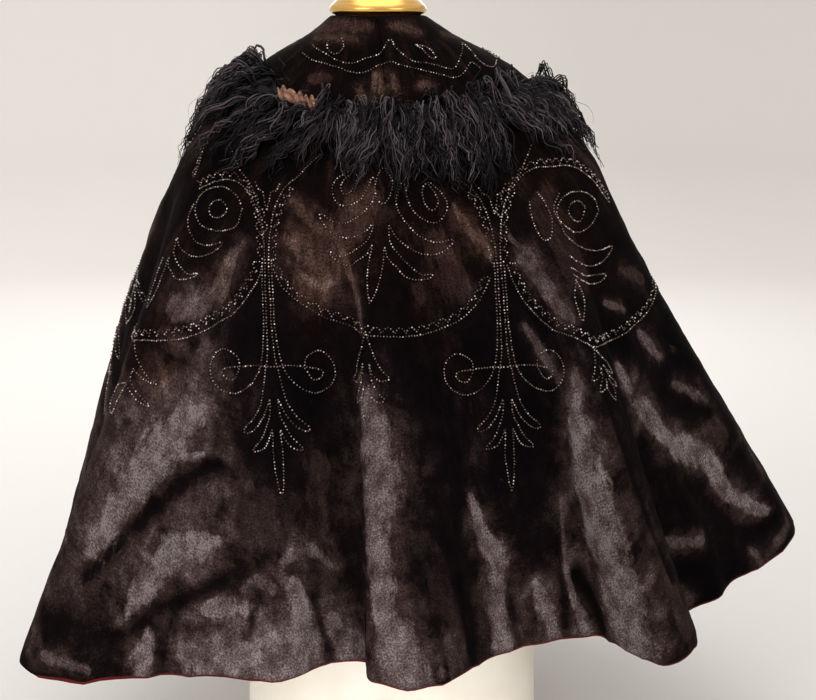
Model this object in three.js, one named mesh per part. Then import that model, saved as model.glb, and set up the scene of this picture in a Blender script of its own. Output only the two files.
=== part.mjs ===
// Winter cloak on a limbless dress form.
// Millimetres, +Z up, the floor at z = 0 under the middle of the form.
// Centre back faces +Y, the open front faces -Y, the wearer's left is +X.
import * as THREE from "three";

const DEG = Math.PI / 180;
const NECK_Z = 1000;       // height of the neck edge; a "drop" is a distance below it
const WALL = 3;            // plush, interlining and lining together
const SEAM = 0.3;          // gap between two pieces sewn together
const COLLAR_GAP = 1.3;    // collar lining above the plush of the cape
const COLLAR_WALL = 3;

// Cape, neck to chest: drop, half widths to the left and right, depths to the back and front,
// squareness of the outline and how far its middle sits to the left.
const RINGS = [
  [4, 56, 56, 58, 58, 2.0, 9],
  [30, 93, 93, 73, 71, 2.1, 5],
  [50, 132, 132, 85, 81, 2.2, 2.5],
  [70, 165, 165, 96, 92, 2.3, 0],
  [90, 189, 189, 107, 102, 2.35, 0],
  [112, 212, 213, 119, 113, 2.4, 0],
  [145, 243, 246, 138, 130, 2.4, 0],
  [190, 271, 279, 165, 153, 2.4, 0],
];
const CHEST = RINGS.length - 1;

// Hem, once round from the left front edge: angle of the thread at the chest, angle at the hem
// (0 is the centre back, plus is left), reach from the axis, drop, and the belly it has on the way.
const HEM = [
  [176, 176, 372, 752, 0],       // left front edge
  [165, 165, 345, 748, 8],
  [152, 152, 440, 738, -8],
  [138, 138, 388, 728, 8],
  [122, 123, 468, 714, -8],
  [108, 106, 412, 706, 6],       // left seam, in a valley
  [94, 90, 449, 700, 13],        // left outline
  [85, 76, 436, 705, 10],
  [78, 63, 418, 712, 0],         // valley behind the left lobe
  [72, 55, 505, 724, 0],
  [66, 49, 553, 730, 0],         // corner of the lobe
  [57, 43, 521, 738, 0],
  [46, 36, 438, 745, 0],
  [38, 29, 404, 748, 0],
  [28, 18, 380, 750, 0],
  [22, 13, 333, 750, 0],
  [17, 6.5, 312, 750, 0],        // valley beside the middle flute
  [14, 3.2, 316, 750, 0],
  [11.5, 3.6, 338, 750, 0],
  [8, 1, 366, 750, 0],
  [1, -7, 379, 751, 0],          // middle flute
  [-6, -15, 355, 750, 0],
  [-15, -23, 328, 750, 0],
  [-26, -34, 323, 750, 0],
  [-36, -43, 342, 748, 0],
  [-41, -46.5, 366, 745, 0],
  [-44.5, -44.8, 420, 745, 0],
  [-49, -45, 467, 745, 0],       // right flute
  [-54, -51, 478, 742, 0],
  [-57.5, -55.5, 466, 739, 0],
  [-61, -60, 437, 732, 0],
  [-65.5, -64.5, 470, 715, -4],
  [-70, -68.5, 477, 707, -6],
  [-75, -73, 514, 692, -9],
  [-82, -78.5, 553, 667, -11],   // right outline
  [-92, -88, 540, 664, -11],
  [-109, -104, 452, 684, 4],     // right seam, in a valley
  [-124, -121, 490, 702, -8],
  [-139, -137, 390, 724, 8],
  [-153, -151, 438, 738, -8],
  [-165, -165, 345, 748, 8],
  [-176, -176, 372, 752, 0],     // right front edge
];
const SEAM_LEFT = 5, SEAM_RIGHT = 36;
const STEPS = 3;                                       // columns to each entry of HEM
const DOWN = [0.12, 0.25, 0.38, 0.5, 0.62, 0.74, 0.87, 1];  // rows from chest to hem

// Collar: width down the cape at the centre back and over the arm, front edge.
const COLLAR_BACK = 112, COLLAR_SIDE = 124, COLLAR_FRONT = 173;
const COLLAR_ROWS = 7, COLLAR_COLUMNS = 28;

// Fur: length of the locks, how far they stand off, and a short cycle that makes them uneven.
const LOCKS = 66, FUR_FRONT = 172;
const FUR_LENGTH = 104, FUR_BACK = 25, FUR_SIDE = 37;
const UNEVEN = [0, 9, -6, 4, 12, -3, 7, -9, 2, 10, -5];
const SWAY = [1.1, -0.6, 0.4, -1.2, 0.8, -0.2, 1.3];

// Dress form, shoulders to floor: drop, half width, half depth, middle to the left, squareness.
const BODY = [
  [10.4, 55, 56, 9, 2.0],
  [20, 65, 60, 7, 2.05],
  [30, 83, 65, 5, 2.1],
  [50, 122, 77, 2.5, 2.2],
  [70, 154, 87, 0, 2.3],
  [90, 178, 97, 0, 2.35],
  [112, 193, 107, 0, 2.4],
  [145, 197, 116, 0, 2.4],
  [180, 190, 121, 0, 2.4],
  [250, 168, 124, 0, 2.3],
  [330, 144, 112, 0, 2.2],
  [400, 132, 104, 0, 2.2],
  [460, 140, 110, 0, 2.2],
  [540, 166, 124, 0, 2.2],
  [640, 190, 134, -2, 2.2],
  [760, 198, 137, -4, 2.2],
  [880, 203, 139, -6, 2.2],
  [985, 206, 141, -6, 2.2],
  [1000, 203, 138, -6, 2.2],
];
// The neck piece, cap to foot: drop and radius.
const NECK = [
  [-98, 30], [-97, 38], [-92, 44], [-84, 46], [-70, 44], [-48, 42.5], [-30, 43.5],
  [-18, 46], [-8, 50], [0, 52], [6, 52.5], [10.1, 52.5],
];
const NECK_MIDDLE = 9;     // the neck stands a little to the left of the base
const FORM_SIDES = 40;

const finish = (color, roughness, metalness = 0) =>
  new THREE.MeshStandardMaterial({ color, roughness, metalness });
const plush = () => finish(0x1b1513, 0.9);
const fur = () => finish(0x2c2c2f, 0.85);
const linen = () => finish(0xe2dac8, 0.9);
const satinBrass = () => finish(0xcc9d52, 0.35, 1);

function outline(angle, left, right, back, front, power) {
  const s = Math.sin(angle), c = Math.cos(angle);
  const a = Math.abs(s / (s > 0 ? left : right)), b = Math.abs(c / (c > 0 ? back : front));
  const r = (a ** power + b ** power) ** (-1 / power);
  return [r * s, r * c];
}

function ringPoint(ring, top) {
  const [drop, left, right, back, front, power, middle] = ring;
  const [x, y] = outline(top * DEG, left, right, back, front, power);
  return new THREE.Vector3(x + middle, y, NECK_Z - drop);
}

// Smooth curve through the hem table: thread angle, x, y, drop and belly at u entries round.
const ANCHORS = HEM.map(([top, turn, reach, drop, belly]) =>
  [top, reach * Math.sin(turn * DEG), reach * Math.cos(turn * DEG), drop, belly]);

function hemAt(u) {
  const last = ANCHORS.length - 1;
  const i = Math.min(Math.max(Math.floor(u), 0), last - 1), t = u - i;
  const b = ANCHORS[i], c = ANCHORS[i + 1];
  const a = i > 0 ? ANCHORS[i - 1] : b.map((v, k) => 2 * v - c[k]);
  const d = i + 2 <= last ? ANCHORS[i + 2] : c.map((v, k) => 2 * v - b[k]);
  return b.map((_, k) => 0.5 * (2 * b[k] + (c[k] - a[k]) * t
    + (2 * a[k] - 5 * b[k] + 4 * c[k] - d[k]) * t * t
    + (3 * b[k] - a[k] - 3 * c[k] + d[k]) * t * t * t));
}

// A point of the cape's outside: u round the hem table, v down (0 to CHEST, then on to the hem).
function cape(u, v) {
  const [top, x, y, drop, belly] = hemAt(u);
  if (v <= CHEST) {
    const k = Math.min(Math.floor(v), CHEST - 1);
    return ringPoint(RINGS[k], top).lerp(ringPoint(RINGS[k + 1], top), v - k);
  }
  const s = v - CHEST, away = Math.hypot(x, y), out = belly * 6.75 * s * (1 - s) ** 2;
  const p = ringPoint(RINGS[CHEST], top).lerp(new THREE.Vector3(x, y, NECK_Z - drop), s);
  p.x += out * x / away;
  p.y += out * y / away;
  return p;
}

function capeNormal(u, v) {
  const end = ANCHORS.length - 1, du = 0.04, dv = 0.02;
  const across = cape(Math.min(u + du, end), v).sub(cape(Math.max(u - du, 0), v));
  const down = cape(u, Math.min(v + dv, CHEST + 1)).sub(cape(u, Math.max(v - dv, 0)));
  return across.cross(down).normalize().multiplyScalar(-1);
}

// The same surface by cloth measure: the thread that leaves the neck at "top", "along" mm down it.
function threadAt(top) {
  let low = 0, high = ANCHORS.length - 1;
  for (let k = 0; k < 40; k++) {
    const mid = (low + high) / 2;
    if (hemAt(mid)[0] > top) low = mid; else high = mid;
  }
  return (low + high) / 2;
}

function onCape(top, along, lift) {
  const u = threadAt(top);
  let v = 0, left = along;
  while (v < CHEST + 1) {
    const step = v < CHEST ? 1 : 0.1;
    const length = cape(u, v).distanceTo(cape(u, v + step));
    if (left <= length) { v += step * left / length; break; }
    left -= length;
    v += step;
  }
  return cape(u, v).addScaledVector(capeNormal(u, v), lift);
}

function named(name, geometry, material) {
  const mesh = new THREE.Mesh(geometry, material);
  mesh.name = name;
  return mesh;
}

function closedMesh(name, material, points, faces) {
  let volume = 0;
  for (const [a, b, c] of faces) {
    volume += points[a].dot(new THREE.Vector3().crossVectors(points[b], points[c]));
  }
  const index = volume < 0 ? faces.map(([a, b, c]) => [a, c, b]) : faces;
  const geometry = new THREE.BufferGeometry();
  geometry.setAttribute("position",
    new THREE.Float32BufferAttribute(points.flatMap(p => [p.x, p.y, p.z]), 3));
  geometry.setIndex(index.flat());
  geometry.computeVertexNormals();
  return named(name, geometry, material);
}

// A wall between two grids of points of the same size, closed along its four edges.
function wall(name, outside, inside) {
  const rows = outside.length, columns = outside[0].length, size = rows * columns;
  const points = [...outside.flat(), ...inside.flat()], faces = [];
  const quad = (a, b, c, d) => faces.push([a, b, c], [a, c, d]);
  const at = (i, j) => i * columns + j;
  for (let i = 0; i + 1 < rows; i++) {
    for (let j = 0; j + 1 < columns; j++) {
      quad(at(i, j), at(i, j + 1), at(i + 1, j + 1), at(i + 1, j));
      quad(size + at(i, j), size + at(i + 1, j), size + at(i + 1, j + 1), size + at(i, j + 1));
    }
  }
  for (let j = 0; j + 1 < columns; j++) {
    const k = rows - 1;
    quad(at(0, j + 1), at(0, j), size + at(0, j), size + at(0, j + 1));
    quad(at(k, j), at(k, j + 1), size + at(k, j + 1), size + at(k, j));
  }
  for (let i = 0; i + 1 < rows; i++) {
    const k = columns - 1;
    quad(at(i, 0), at(i + 1, 0), size + at(i + 1, 0), size + at(i, 0));
    quad(at(i + 1, k), at(i, k), size + at(i, k), size + at(i + 1, k));
  }
  return closedMesh(name, plush(), points, faces);
}

// A solid through a row of closed loops of the same length, capped at both ends.
function loft(name, material, loops) {
  const n = loops[0].length, points = loops.flat(), faces = [];
  for (let i = 0; i + 1 < loops.length; i++) {
    for (let j = 0; j < n; j++) {
      const a = i * n + j, b = i * n + (j + 1) % n;
      faces.push([a, b, b + n], [a, b + n, a + n]);
    }
  }
  for (const end of [0, loops.length - 1]) {
    const shape = THREE.ShapeUtils.triangulateShape(flatLoop(loops[end]), []);
    for (const [a, b, c] of shape) {
      faces.push(end ? [end * n + a, end * n + b, end * n + c] : [a, c, b]);
    }
  }
  return closedMesh(name, material, points, faces);
}

// The loop laid out on its own mean plane, for triangulating an end.
function flatLoop(loop) {
  const middle = loop.reduce((sum, p) => sum.add(p), new THREE.Vector3()).divideScalar(loop.length);
  const normal = new THREE.Vector3();
  loop.forEach((p, k) => {
    const q = loop[(k + 1) % loop.length];
    normal.add(p.clone().sub(middle).cross(q.clone().sub(middle)));
  });
  normal.normalize();
  const across = loop[0].clone().sub(middle).normalize();
  across.addScaledVector(normal, -across.dot(normal)).normalize();
  const up = normal.clone().cross(across);
  return loop.map(p => new THREE.Vector2(p.clone().sub(middle).dot(across), p.clone().sub(middle).dot(up)));
}

// One panel of the cape between two entries of the hem table, half a seam short at each side.
function capePanel(name, from, to) {
  const rows = [...RINGS.map((_, k) => k), ...DOWN.map(s => CHEST + s)];
  const columns = (to - from) * STEPS;
  const outside = [], inside = [];
  for (const v of rows) {
    const outer = [], inner = [];
    for (let j = 0; j <= columns; j++) {
      const u = from + j / STEPS, n = capeNormal(u, v), p = cape(u, v);
      const side = j === 0 ? 1 : j === columns ? -1 : 0;
      if (side) {
        const along = cape(u + side * 0.05, v).sub(p).normalize();
        p.addScaledVector(along, SEAM / 2 + 0.02);
      }
      outer.push(p);
      inner.push(p.clone().addScaledVector(n, -WALL));
    }
    outside.push(outer);
    inside.push(inner);
  }
  return wall(name, outside, inside);
}

function collarWidth(top) {
  return (COLLAR_BACK + COLLAR_SIDE) / 2 + (COLLAR_BACK - COLLAR_SIDE) / 2 * Math.cos(2 * top * DEG);
}

// One half of the collar, side = 1 for the left; it lies on the cape.
function collarHalf(name, side) {
  const outside = [], inside = [];
  for (let i = 0; i <= COLLAR_ROWS; i++) {
    const outer = [], inner = [];
    for (let j = 0; j <= COLLAR_COLUMNS; j++) {
      const top = side * COLLAR_FRONT * j / COLLAR_COLUMNS;
      const along = collarWidth(top) * i / COLLAR_ROWS;
      const shift = j === 0 ? side * (SEAM / 2 + 0.02) : 0;
      for (const [line, lift] of [[outer, COLLAR_GAP + COLLAR_WALL], [inner, COLLAR_GAP]]) {
        const p = onCape(top, along, lift);
        p.x += shift;
        line.push(p);
      }
    }
    outside.push(outer);
    inside.push(inner);
  }
  return wall(name, outside, inside);
}

// The fur hooks over the collar's edge and hangs in locks: each station is a section down one
// thread, full on a lock and drawn in between two.
function furTrim() {
  const loops = [];
  for (let k = 0; k <= 2 * LOCKS; k++) {
    const lock = Math.floor(k / 2), full = k % 2 === 1;
    const top = FUR_FRONT * (1 - k / LOCKS);
    const side = Math.sin(top * DEG) ** 2;
    const thick = (FUR_BACK + (FUR_SIDE - FUR_BACK) * side) * (full ? 1 : 0.74)
      + (full ? UNEVEN[(lock * 3) % UNEVEN.length] * 0.35 : 0);
    const length = FUR_LENGTH * (full ? 1 : 0.8) + (full ? UNEVEN[lock % UNEVEN.length] : 0);
    const sway = full ? SWAY[lock % SWAY.length] : 0;
    const edge = collarWidth(top), over = COLLAR_GAP + COLLAR_WALL + 1;
    const section = [
      [-9, over + 0.2, 0], [-6, over + 4, 0], [5, thick * 0.72, 0], [length * 0.28, thick, 0],
      [length * 0.55, thick * 0.92, 0.4], [length * 0.8, thick * 0.6, 0.8], [length, 5.5, 1],
      [length * 0.6, 2, 0], [1.5, 2, 0], [1.5, over, 0],
    ];
    loops.push(section.map(([along, lift, lean]) => onCape(top + sway * lean, edge + along, lift)));
  }
  return loft("fur_trim", fur(), loops);
}

function formBody() {
  return loft("form_body", linen(), BODY.map(([drop, width, depth, middle, power]) =>
    Array.from({ length: FORM_SIDES }, (_, j) => {
      const [x, y] = outline(j * 360 / FORM_SIDES * DEG, width, width, depth, depth, power);
      return new THREE.Vector3(x + middle, y, NECK_Z - drop);
    })));
}

function formNeck() {
  const profile = [[0, NECK[0][0]], ...NECK.map(([drop, radius]) => [radius, drop]),
    [0, NECK[NECK.length - 1][0]]];
  const geometry = new THREE.LatheGeometry(
    profile.reverse().map(([radius, drop]) => new THREE.Vector2(radius, -drop)), FORM_SIDES);
  geometry.rotateX(Math.PI / 2);
  const neck = named("form_neck", geometry, satinBrass());
  neck.position.set(NECK_MIDDLE, 0, NECK_Z);
  return neck;
}

const cloak = new THREE.Group();
cloak.name = "winter_cloak";
cloak.add(
  capePanel("cape_front_left", 0, SEAM_LEFT),
  capePanel("cape_back", SEAM_LEFT, SEAM_RIGHT),
  capePanel("cape_front_right", SEAM_RIGHT, HEM.length - 1),
  collarHalf("collar_left", 1),
  collarHalf("collar_right", -1),
  furTrim(),
  formBody(),
  formNeck(),
);
export default cloak;
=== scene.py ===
"""Winter cloak of crushed plush, with jet beading and a collar edged in curly lamb fur.

It stands on a limbless dress form, seen from behind. The back faces +Y, the wearer's left is +X.
"""
import math

import bpy
import numpy as np
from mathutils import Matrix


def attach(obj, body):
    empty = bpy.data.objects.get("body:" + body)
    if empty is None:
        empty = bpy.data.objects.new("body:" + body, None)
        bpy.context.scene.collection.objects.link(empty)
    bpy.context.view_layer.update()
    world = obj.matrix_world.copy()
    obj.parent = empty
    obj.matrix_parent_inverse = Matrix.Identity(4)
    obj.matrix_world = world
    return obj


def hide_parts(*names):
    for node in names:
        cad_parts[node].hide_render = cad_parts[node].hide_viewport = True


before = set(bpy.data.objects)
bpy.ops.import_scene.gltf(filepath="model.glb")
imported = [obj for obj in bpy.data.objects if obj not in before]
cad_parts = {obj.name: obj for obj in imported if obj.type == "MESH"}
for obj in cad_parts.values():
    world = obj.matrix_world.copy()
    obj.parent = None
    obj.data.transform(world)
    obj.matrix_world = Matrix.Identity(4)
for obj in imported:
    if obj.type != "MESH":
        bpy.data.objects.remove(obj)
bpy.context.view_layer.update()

MM = 0.001              # every length below is in millimetres and becomes metres in its mesh
NECK_EDGE = 1000        # height of the cloak's neck edge; a "drop" is a distance below it

# The camera stands behind the cloak at the height of its neck edge, a little to one side,
# and looks down at its middle.
CAMERA_PLACE = (-29.5, 1800, 1000)
CAMERA_TILT = 13.86     # degrees below the horizon
CAMERA_LENS = 60.1      # focal length for a 36 mm wide picture

camera_data = bpy.data.cameras.new("camera")
camera_data.lens = CAMERA_LENS
camera = bpy.data.objects.new("camera", camera_data)
camera.location = [c * MM for c in CAMERA_PLACE]
camera.rotation_euler = (math.radians(90 - CAMERA_TILT), 0, math.pi)
bpy.context.scene.collection.objects.link(camera)
bpy.context.scene.camera = camera


# The dress form's body is pressed board with no limbs, tightly covered in off-white linen,
# rounded at the shoulders, drawn in at the waist and carried straight down to the floor.
FORM = np.array([       # drop, half width, half depth, middle to the left, squareness
    (10.4, 55, 56, 9, 2.0), (20, 65, 60, 7, 2.05), (30, 83, 65, 5, 2.1), (50, 122, 77, 2.5, 2.2),
    (70, 154, 87, 0, 2.3), (90, 178, 97, 0, 2.35), (112, 193, 107, 0, 2.4), (145, 197, 116, 0, 2.4),
    (180, 190, 121, 0, 2.4), (250, 168, 124, 0, 2.3), (330, 144, 112, 0, 2.2),
    (400, 132, 104, 0, 2.2), (460, 140, 110, 0, 2.2), (540, 166, 124, 0, 2.2),
    (640, 190, 134, -2, 2.2), (760, 198, 137, -4, 2.2), (880, 203, 139, -6, 2.2),
    (985, 206, 141, -6, 2.2), (1000, 203, 138, -6, 2.2)])
FORM_ROWS, FORM_SIDES = 90, 120
FORM_RADIUS = 180       # for the weave's place round the form
FORM_SEAM_SUNK, FORM_SEAM_HALF = 0.8, 2.5
FORM_SEAM_RADIUS = 150


def outline(angle, left, right, back, front, power):
    """x and y at an angle from the back, where |x/half width|^power + |y/half depth|^power = 1."""
    s, c = np.sin(angle), np.cos(angle)
    across = np.abs(s / np.where(s > 0, left, right))
    deep = np.abs(c / np.where(c > 0, back, front))
    r = (across ** power + deep ** power) ** (-1 / power)
    return r * s, r * c


def between_rows(table, at):
    """A table's columns carried smoothly through its rows (Catmull-Rom), at fractional rows."""
    padded = np.vstack([2 * table[0] - table[1], table, 2 * table[-1] - table[-2]])
    i = np.clip(at.astype(int), 0, len(table) - 2)
    t = (at - i)[:, None]
    a, b, c, d = (padded[i + k] for k in range(4))
    return 0.5 * (2 * b + (c - a) * t + (2 * a - 5 * b + 4 * c - d) * t ** 2
                  + (3 * b - a - 3 * c + d) * t ** 3)


def smooth_rows(table, count):
    """The table at a count of even steps from its first row to its last."""
    return between_rows(table, np.linspace(0, len(table) - 1, count))


def full_turn(sides):
    """Even angles once round, in one row."""
    return np.linspace(0, 2 * np.pi, sides, endpoint=False)[None]


def grid_faces(rows, columns, closed=False):
    """Quads between neighbours of a grid of points, and from the last column to the first if closed."""
    i, j = np.mgrid[0:rows - 1, 0:columns if closed else columns - 1]
    k = (j + 1) % columns
    quads = np.stack([i * columns + j, (i + 1) * columns + j, (i + 1) * columns + k, i * columns + k], -1)
    return quads.reshape(-1, 4)


def closed_round(rows, sides):
    """Faces of a surface that closes round its sides, and a cap on its first ring and on its last."""
    last_ring = (rows - 1) * sides
    return {"faces": grid_faces(rows, sides, True)[:, ::-1],
            "caps": [range(sides - 1, -1, -1), range(last_ring, last_ring + sides)]}


def add_piece(name, slot, material, points, faces, caps=(), cloth=None, **marks):
    """A smooth mesh of points in millimetres, which rides on the root body.

    cloth is a place on the flat cloth for each point, and each mark a value for each point.
    """
    mesh = bpy.data.meshes.new(name)
    mesh.from_pydata((np.asarray(points).reshape(-1, 3) * MM).tolist(), [],
                     np.asarray(faces).tolist() + [list(c) for c in caps])
    mesh.polygons.foreach_set("use_smooth", np.ones(len(mesh.polygons), bool))
    if cloth is not None:
        corners = np.zeros(len(mesh.loops), int)
        mesh.loops.foreach_get("vertex_index", corners)
        places = (np.asarray(cloth).reshape(-1, 2) * MM)[corners]
        mesh.uv_layers.new(name="cloth").data.foreach_set("uv", places.ravel())
    for mark, values in marks.items():
        mesh.attributes.new(mark, "FLOAT", "POINT").data.foreach_set("value", np.ravel(values))
    mesh.materials.append(material)
    piece = bpy.data.objects.new(name, mesh)
    bpy.context.scene.collection.objects.link(piece)
    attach(piece, "root")
    return piece


def new_material(name, **sockets):
    """A Principled material with its sockets set; an underscore stands for a space in their names."""
    made = bpy.data.materials.new(name)
    made.use_nodes = True
    shader = made.node_tree.nodes["Principled BSDF"]
    for socket, value in sockets.items():
        shader.inputs[socket.replace("_", " ")].default_value = value
    return made, made.node_tree, shader


def add_node(tree, kind, inputs=(), **settings):
    """A node of the tree with its settings and its inputs, each input a value or a socket to link."""
    made = tree.nodes.new(kind)
    for name, value in settings.items():
        setattr(made, name, value)
    for key, value in dict(inputs).items():
        if isinstance(value, bpy.types.NodeSocket):
            tree.links.new(value, made.inputs[key])
        else:
            made.inputs[key].default_value = value
    return made


def colour_between(tree, factor, *stops):
    """A ramp of colours, each stop a position and a colour."""
    ramp = add_node(tree, "ShaderNodeValToRGB", {"Fac": factor})
    for k, (place, colour) in enumerate(stops):
        stop = ramp.color_ramp.elements[k] if k < 2 else ramp.color_ramp.elements.new(place)
        stop.position, stop.color = place, (*colour, 1)
    return ramp.outputs["Color"]


def bumped(tree, shader, height, depth, strength=1.0):
    """Roughens the shader's surface by a height from 0 to 1 that stands for depth millimetres."""
    bump = add_node(tree, "ShaderNodeBump",
                    {"Height": height, "Distance": depth * MM, "Strength": strength})
    tree.links.new(bump.outputs["Normal"], shader.inputs["Normal"])


def linen():
    """Off-white linen: two crossed sets of threads 0.9 mm apart, uneven, with faint age marks."""
    made, tree, shader = new_material("linen", Roughness=0.85, Specular_IOR_Level=0.25)
    cloth = add_node(tree, "ShaderNodeUVMap", uv_map="cloth").outputs["UV"]
    thread = {"Scale": 350.0, "Distortion": 1.2, "Detail": 2.0, "Vector": cloth}
    warp = add_node(tree, "ShaderNodeTexWave", thread, bands_direction="X").outputs["Fac"]
    weft = add_node(tree, "ShaderNodeTexWave", thread, bands_direction="Y").outputs["Fac"]
    weave = add_node(tree, "ShaderNodeMath", {0: warp, 1: weft}, operation="MULTIPLY").outputs[0]
    marks = add_node(tree, "ShaderNodeTexNoise", {"Vector": cloth, "Scale": 9.0, "Detail": 5.0})
    tone = add_node(tree, "ShaderNodeMath", {0: weave, 1: 0.25, 2: marks.outputs["Fac"]},
                    operation="MULTIPLY_ADD").outputs[0]
    colour = colour_between(tree, tone, (0.25, (0.82, 0.735, 0.60)), (0.85, (0.98, 0.94, 0.86)))
    tree.links.new(colour, shader.inputs["Base Color"])
    bumped(tree, shader, weave, 0.35)
    return made


def form_surface():
    """Rounded outlines down the table of drops, with the sewn seam drawn in at the centre back."""
    drop, width, depth, middle, power = smooth_rows(FORM, FORM_ROWS).T[..., None]
    angle = full_turn(FORM_SIDES)
    x, y = outline(angle, width, width, depth, depth, power)
    points = np.stack([x + middle, y, NECK_EDGE - drop + 0 * x], -1)
    from_back = np.minimum(angle, 2 * np.pi - angle) * FORM_SEAM_RADIUS
    points[..., 1] -= FORM_SEAM_SUNK * np.exp(-(from_back / FORM_SEAM_HALF) ** 2)
    cloth = np.stack([angle * FORM_RADIUS + 0 * drop, drop + 0 * angle], -1)
    return points, cloth


form_points, form_cloth = form_surface()
form_linen = add_piece("form_linen", "linen", linen(), form_points, cloth=form_cloth,
                       **closed_round(FORM_ROWS, FORM_SIDES))
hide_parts("form_body")


# The form's neck is a turned and polished piece of yellow metal, flared where it meets the
# shoulders and closed by a low cap.
NECK = np.array([       # drop and radius, from the middle of the cap to the foot
    (-98.6, 0.5), (-98.6, 22), (-97.5, 35), (-93, 43.5), (-84, 46), (-70, 44), (-48, 42.5), (-34, 43.5),
    (-28, 46), (-21, 50), (-16, 55.5), (-10, 61), (-6, 62.5), (-3, 62), (-1, 60), (0.5, 56), (3, 52.5),
    (10.1, 52.5), (10.1, 0.5)])
NECK_MIDDLE = 9         # to the left of the form's own middle
NECK_ROWS, NECK_SIDES = 70, 72


def polished_metal():
    """Warm yellow metal with faint turning marks and a thin lacquer."""
    made, tree, shader = new_material("polished_metal", Base_Color=(0.66, 0.38, 0.09, 1), Metallic=1.0,
                                      Roughness=0.24, Coat_Weight=0.3, Coat_Roughness=0.12)
    place = add_node(tree, "ShaderNodeTexCoord").outputs["Object"]
    lathe = add_node(tree, "ShaderNodeMapping", {"Vector": place, "Scale": (3, 3, 260)}).outputs[0]
    marks = add_node(tree, "ShaderNodeTexNoise", {"Vector": lathe, "Scale": 6.0, "Detail": 4.0})
    marks = marks.outputs["Fac"]
    rough = add_node(tree, "ShaderNodeMapRange", {"Value": marks, "To Min": 0.18, "To Max": 0.34})
    tree.links.new(rough.outputs[0], shader.inputs["Roughness"])
    bumped(tree, shader, marks, 0.06, 0.5)
    return made


def neck_surface():
    """The profile of drops and radii spun round the neck's own upright axis."""
    steps = np.linspace(0, len(NECK) - 1, NECK_ROWS)
    drop, radius = (np.interp(steps, range(len(NECK)), column)[:, None] for column in NECK.T)
    angle = full_turn(NECK_SIDES)
    return np.stack([NECK_MIDDLE + radius * np.sin(angle), radius * np.cos(angle),
                     NECK_EDGE - drop + 0 * angle], -1)


form_neck = add_piece("neck_metal", "neck_metal", polished_metal(), neck_surface(),
                      **closed_round(NECK_ROWS, NECK_SIDES))
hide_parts("form_neck")


# The cape is cut nearly as a whole circle of silk plush, a back and two fronts seamed in the
# folds by the arms. It rests on the shoulders and falls from there in folds that open to the hem.
RINGS = np.array([      # drop, half width left and right, depth back and front, squareness, middle
    (4, 56, 56, 58, 58, 2.0, 9), (30, 93, 93, 73, 71, 2.1, 5), (50, 132, 132, 85, 81, 2.2, 2.5),
    (70, 165, 165, 96, 92, 2.3, 0), (90, 189, 189, 107, 102, 2.35, 0),
    (112, 212, 213, 119, 113, 2.4, 0), (145, 243, 246, 138, 130, 2.4, 0),
    (190, 271, 279, 165, 153, 2.4, 0)])
CHEST = len(RINGS) - 1
HEM = np.array([        # thread's angle at the chest and at the hem, reach, drop, belly on the way
    (176, 176, 372, 752, 0), (165, 165, 345, 748, 8), (152, 152, 440, 738, -8),
    (138, 138, 388, 728, 8), (122, 123, 468, 714, -8), (108, 106, 412, 706, 6),
    (94, 90, 449, 700, 13), (85, 76, 436, 705, 10), (78, 63, 418, 712, 0),
    (72, 55, 505, 724, 0), (66, 49, 553, 730, 0), (57, 43, 521, 738, 0),
    (46, 36, 438, 745, 0), (38, 29, 404, 748, 0), (28, 18, 380, 750, 0), (22, 13, 333, 750, 0),
    (17, 6.5, 312, 750, 0), (14, 3.2, 316, 750, 0), (11.5, 3.6, 338, 750, 0), (8, 1, 366, 750, 0),
    (1, -7, 379, 751, 0), (-6, -15, 355, 750, 0), (-15, -23, 328, 750, 0), (-26, -34, 323, 750, 0),
    (-36, -43, 342, 748, 0), (-41, -46.5, 366, 745, 0), (-44.5, -44.8, 420, 745, 0),
    (-49, -45, 467, 745, 0), (-54, -51, 478, 742, 0), (-57.5, -55.5, 466, 739, 0),
    (-61, -60, 437, 732, 0), (-65.5, -64.5, 470, 715, -4), (-70, -68.5, 477, 707, -6),
    (-75, -73, 514, 692, -9), (-82, -78.5, 553, 667, -11), (-92, -88, 540, 664, -11),
    (-109, -104, 452, 684, 4), (-124, -121, 490, 702, -8), (-139, -137, 390, 724, 8),
    (-153, -151, 438, 738, -8), (-165, -165, 345, 748, 8), (-176, -176, 372, 752, 0)])
PANELS = {"cape_front_left": (0, 5), "cape_back": (5, 36), "cape_front_right": (36, 41)}
PAST_HEM = 1.2          # the chart of the cloth runs on past the hem, for folds and beads near it
CHART_STEP = 4
CHART_DOWN, CHART_ASIDE = 892, 1720     # how far the chart reaches from the neck and from the centre back
CHART_THREADS = 24      # threads measured to each entry of the hem table
CHART_LEVELS = np.concatenate([np.linspace(0, CHEST, 57), CHEST + np.linspace(0, PAST_HEM, 193)[1:]])


def hem_at(thread):
    """The hem table between its entries, as angle, x, y, drop and belly for each thread."""
    angle, turn, reach, drop, belly = HEM.T
    turn = np.radians(turn)
    anchors = np.stack([angle, reach * np.sin(turn), reach * np.cos(turn), drop, belly], 1)
    return between_rows(anchors, thread)


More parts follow.
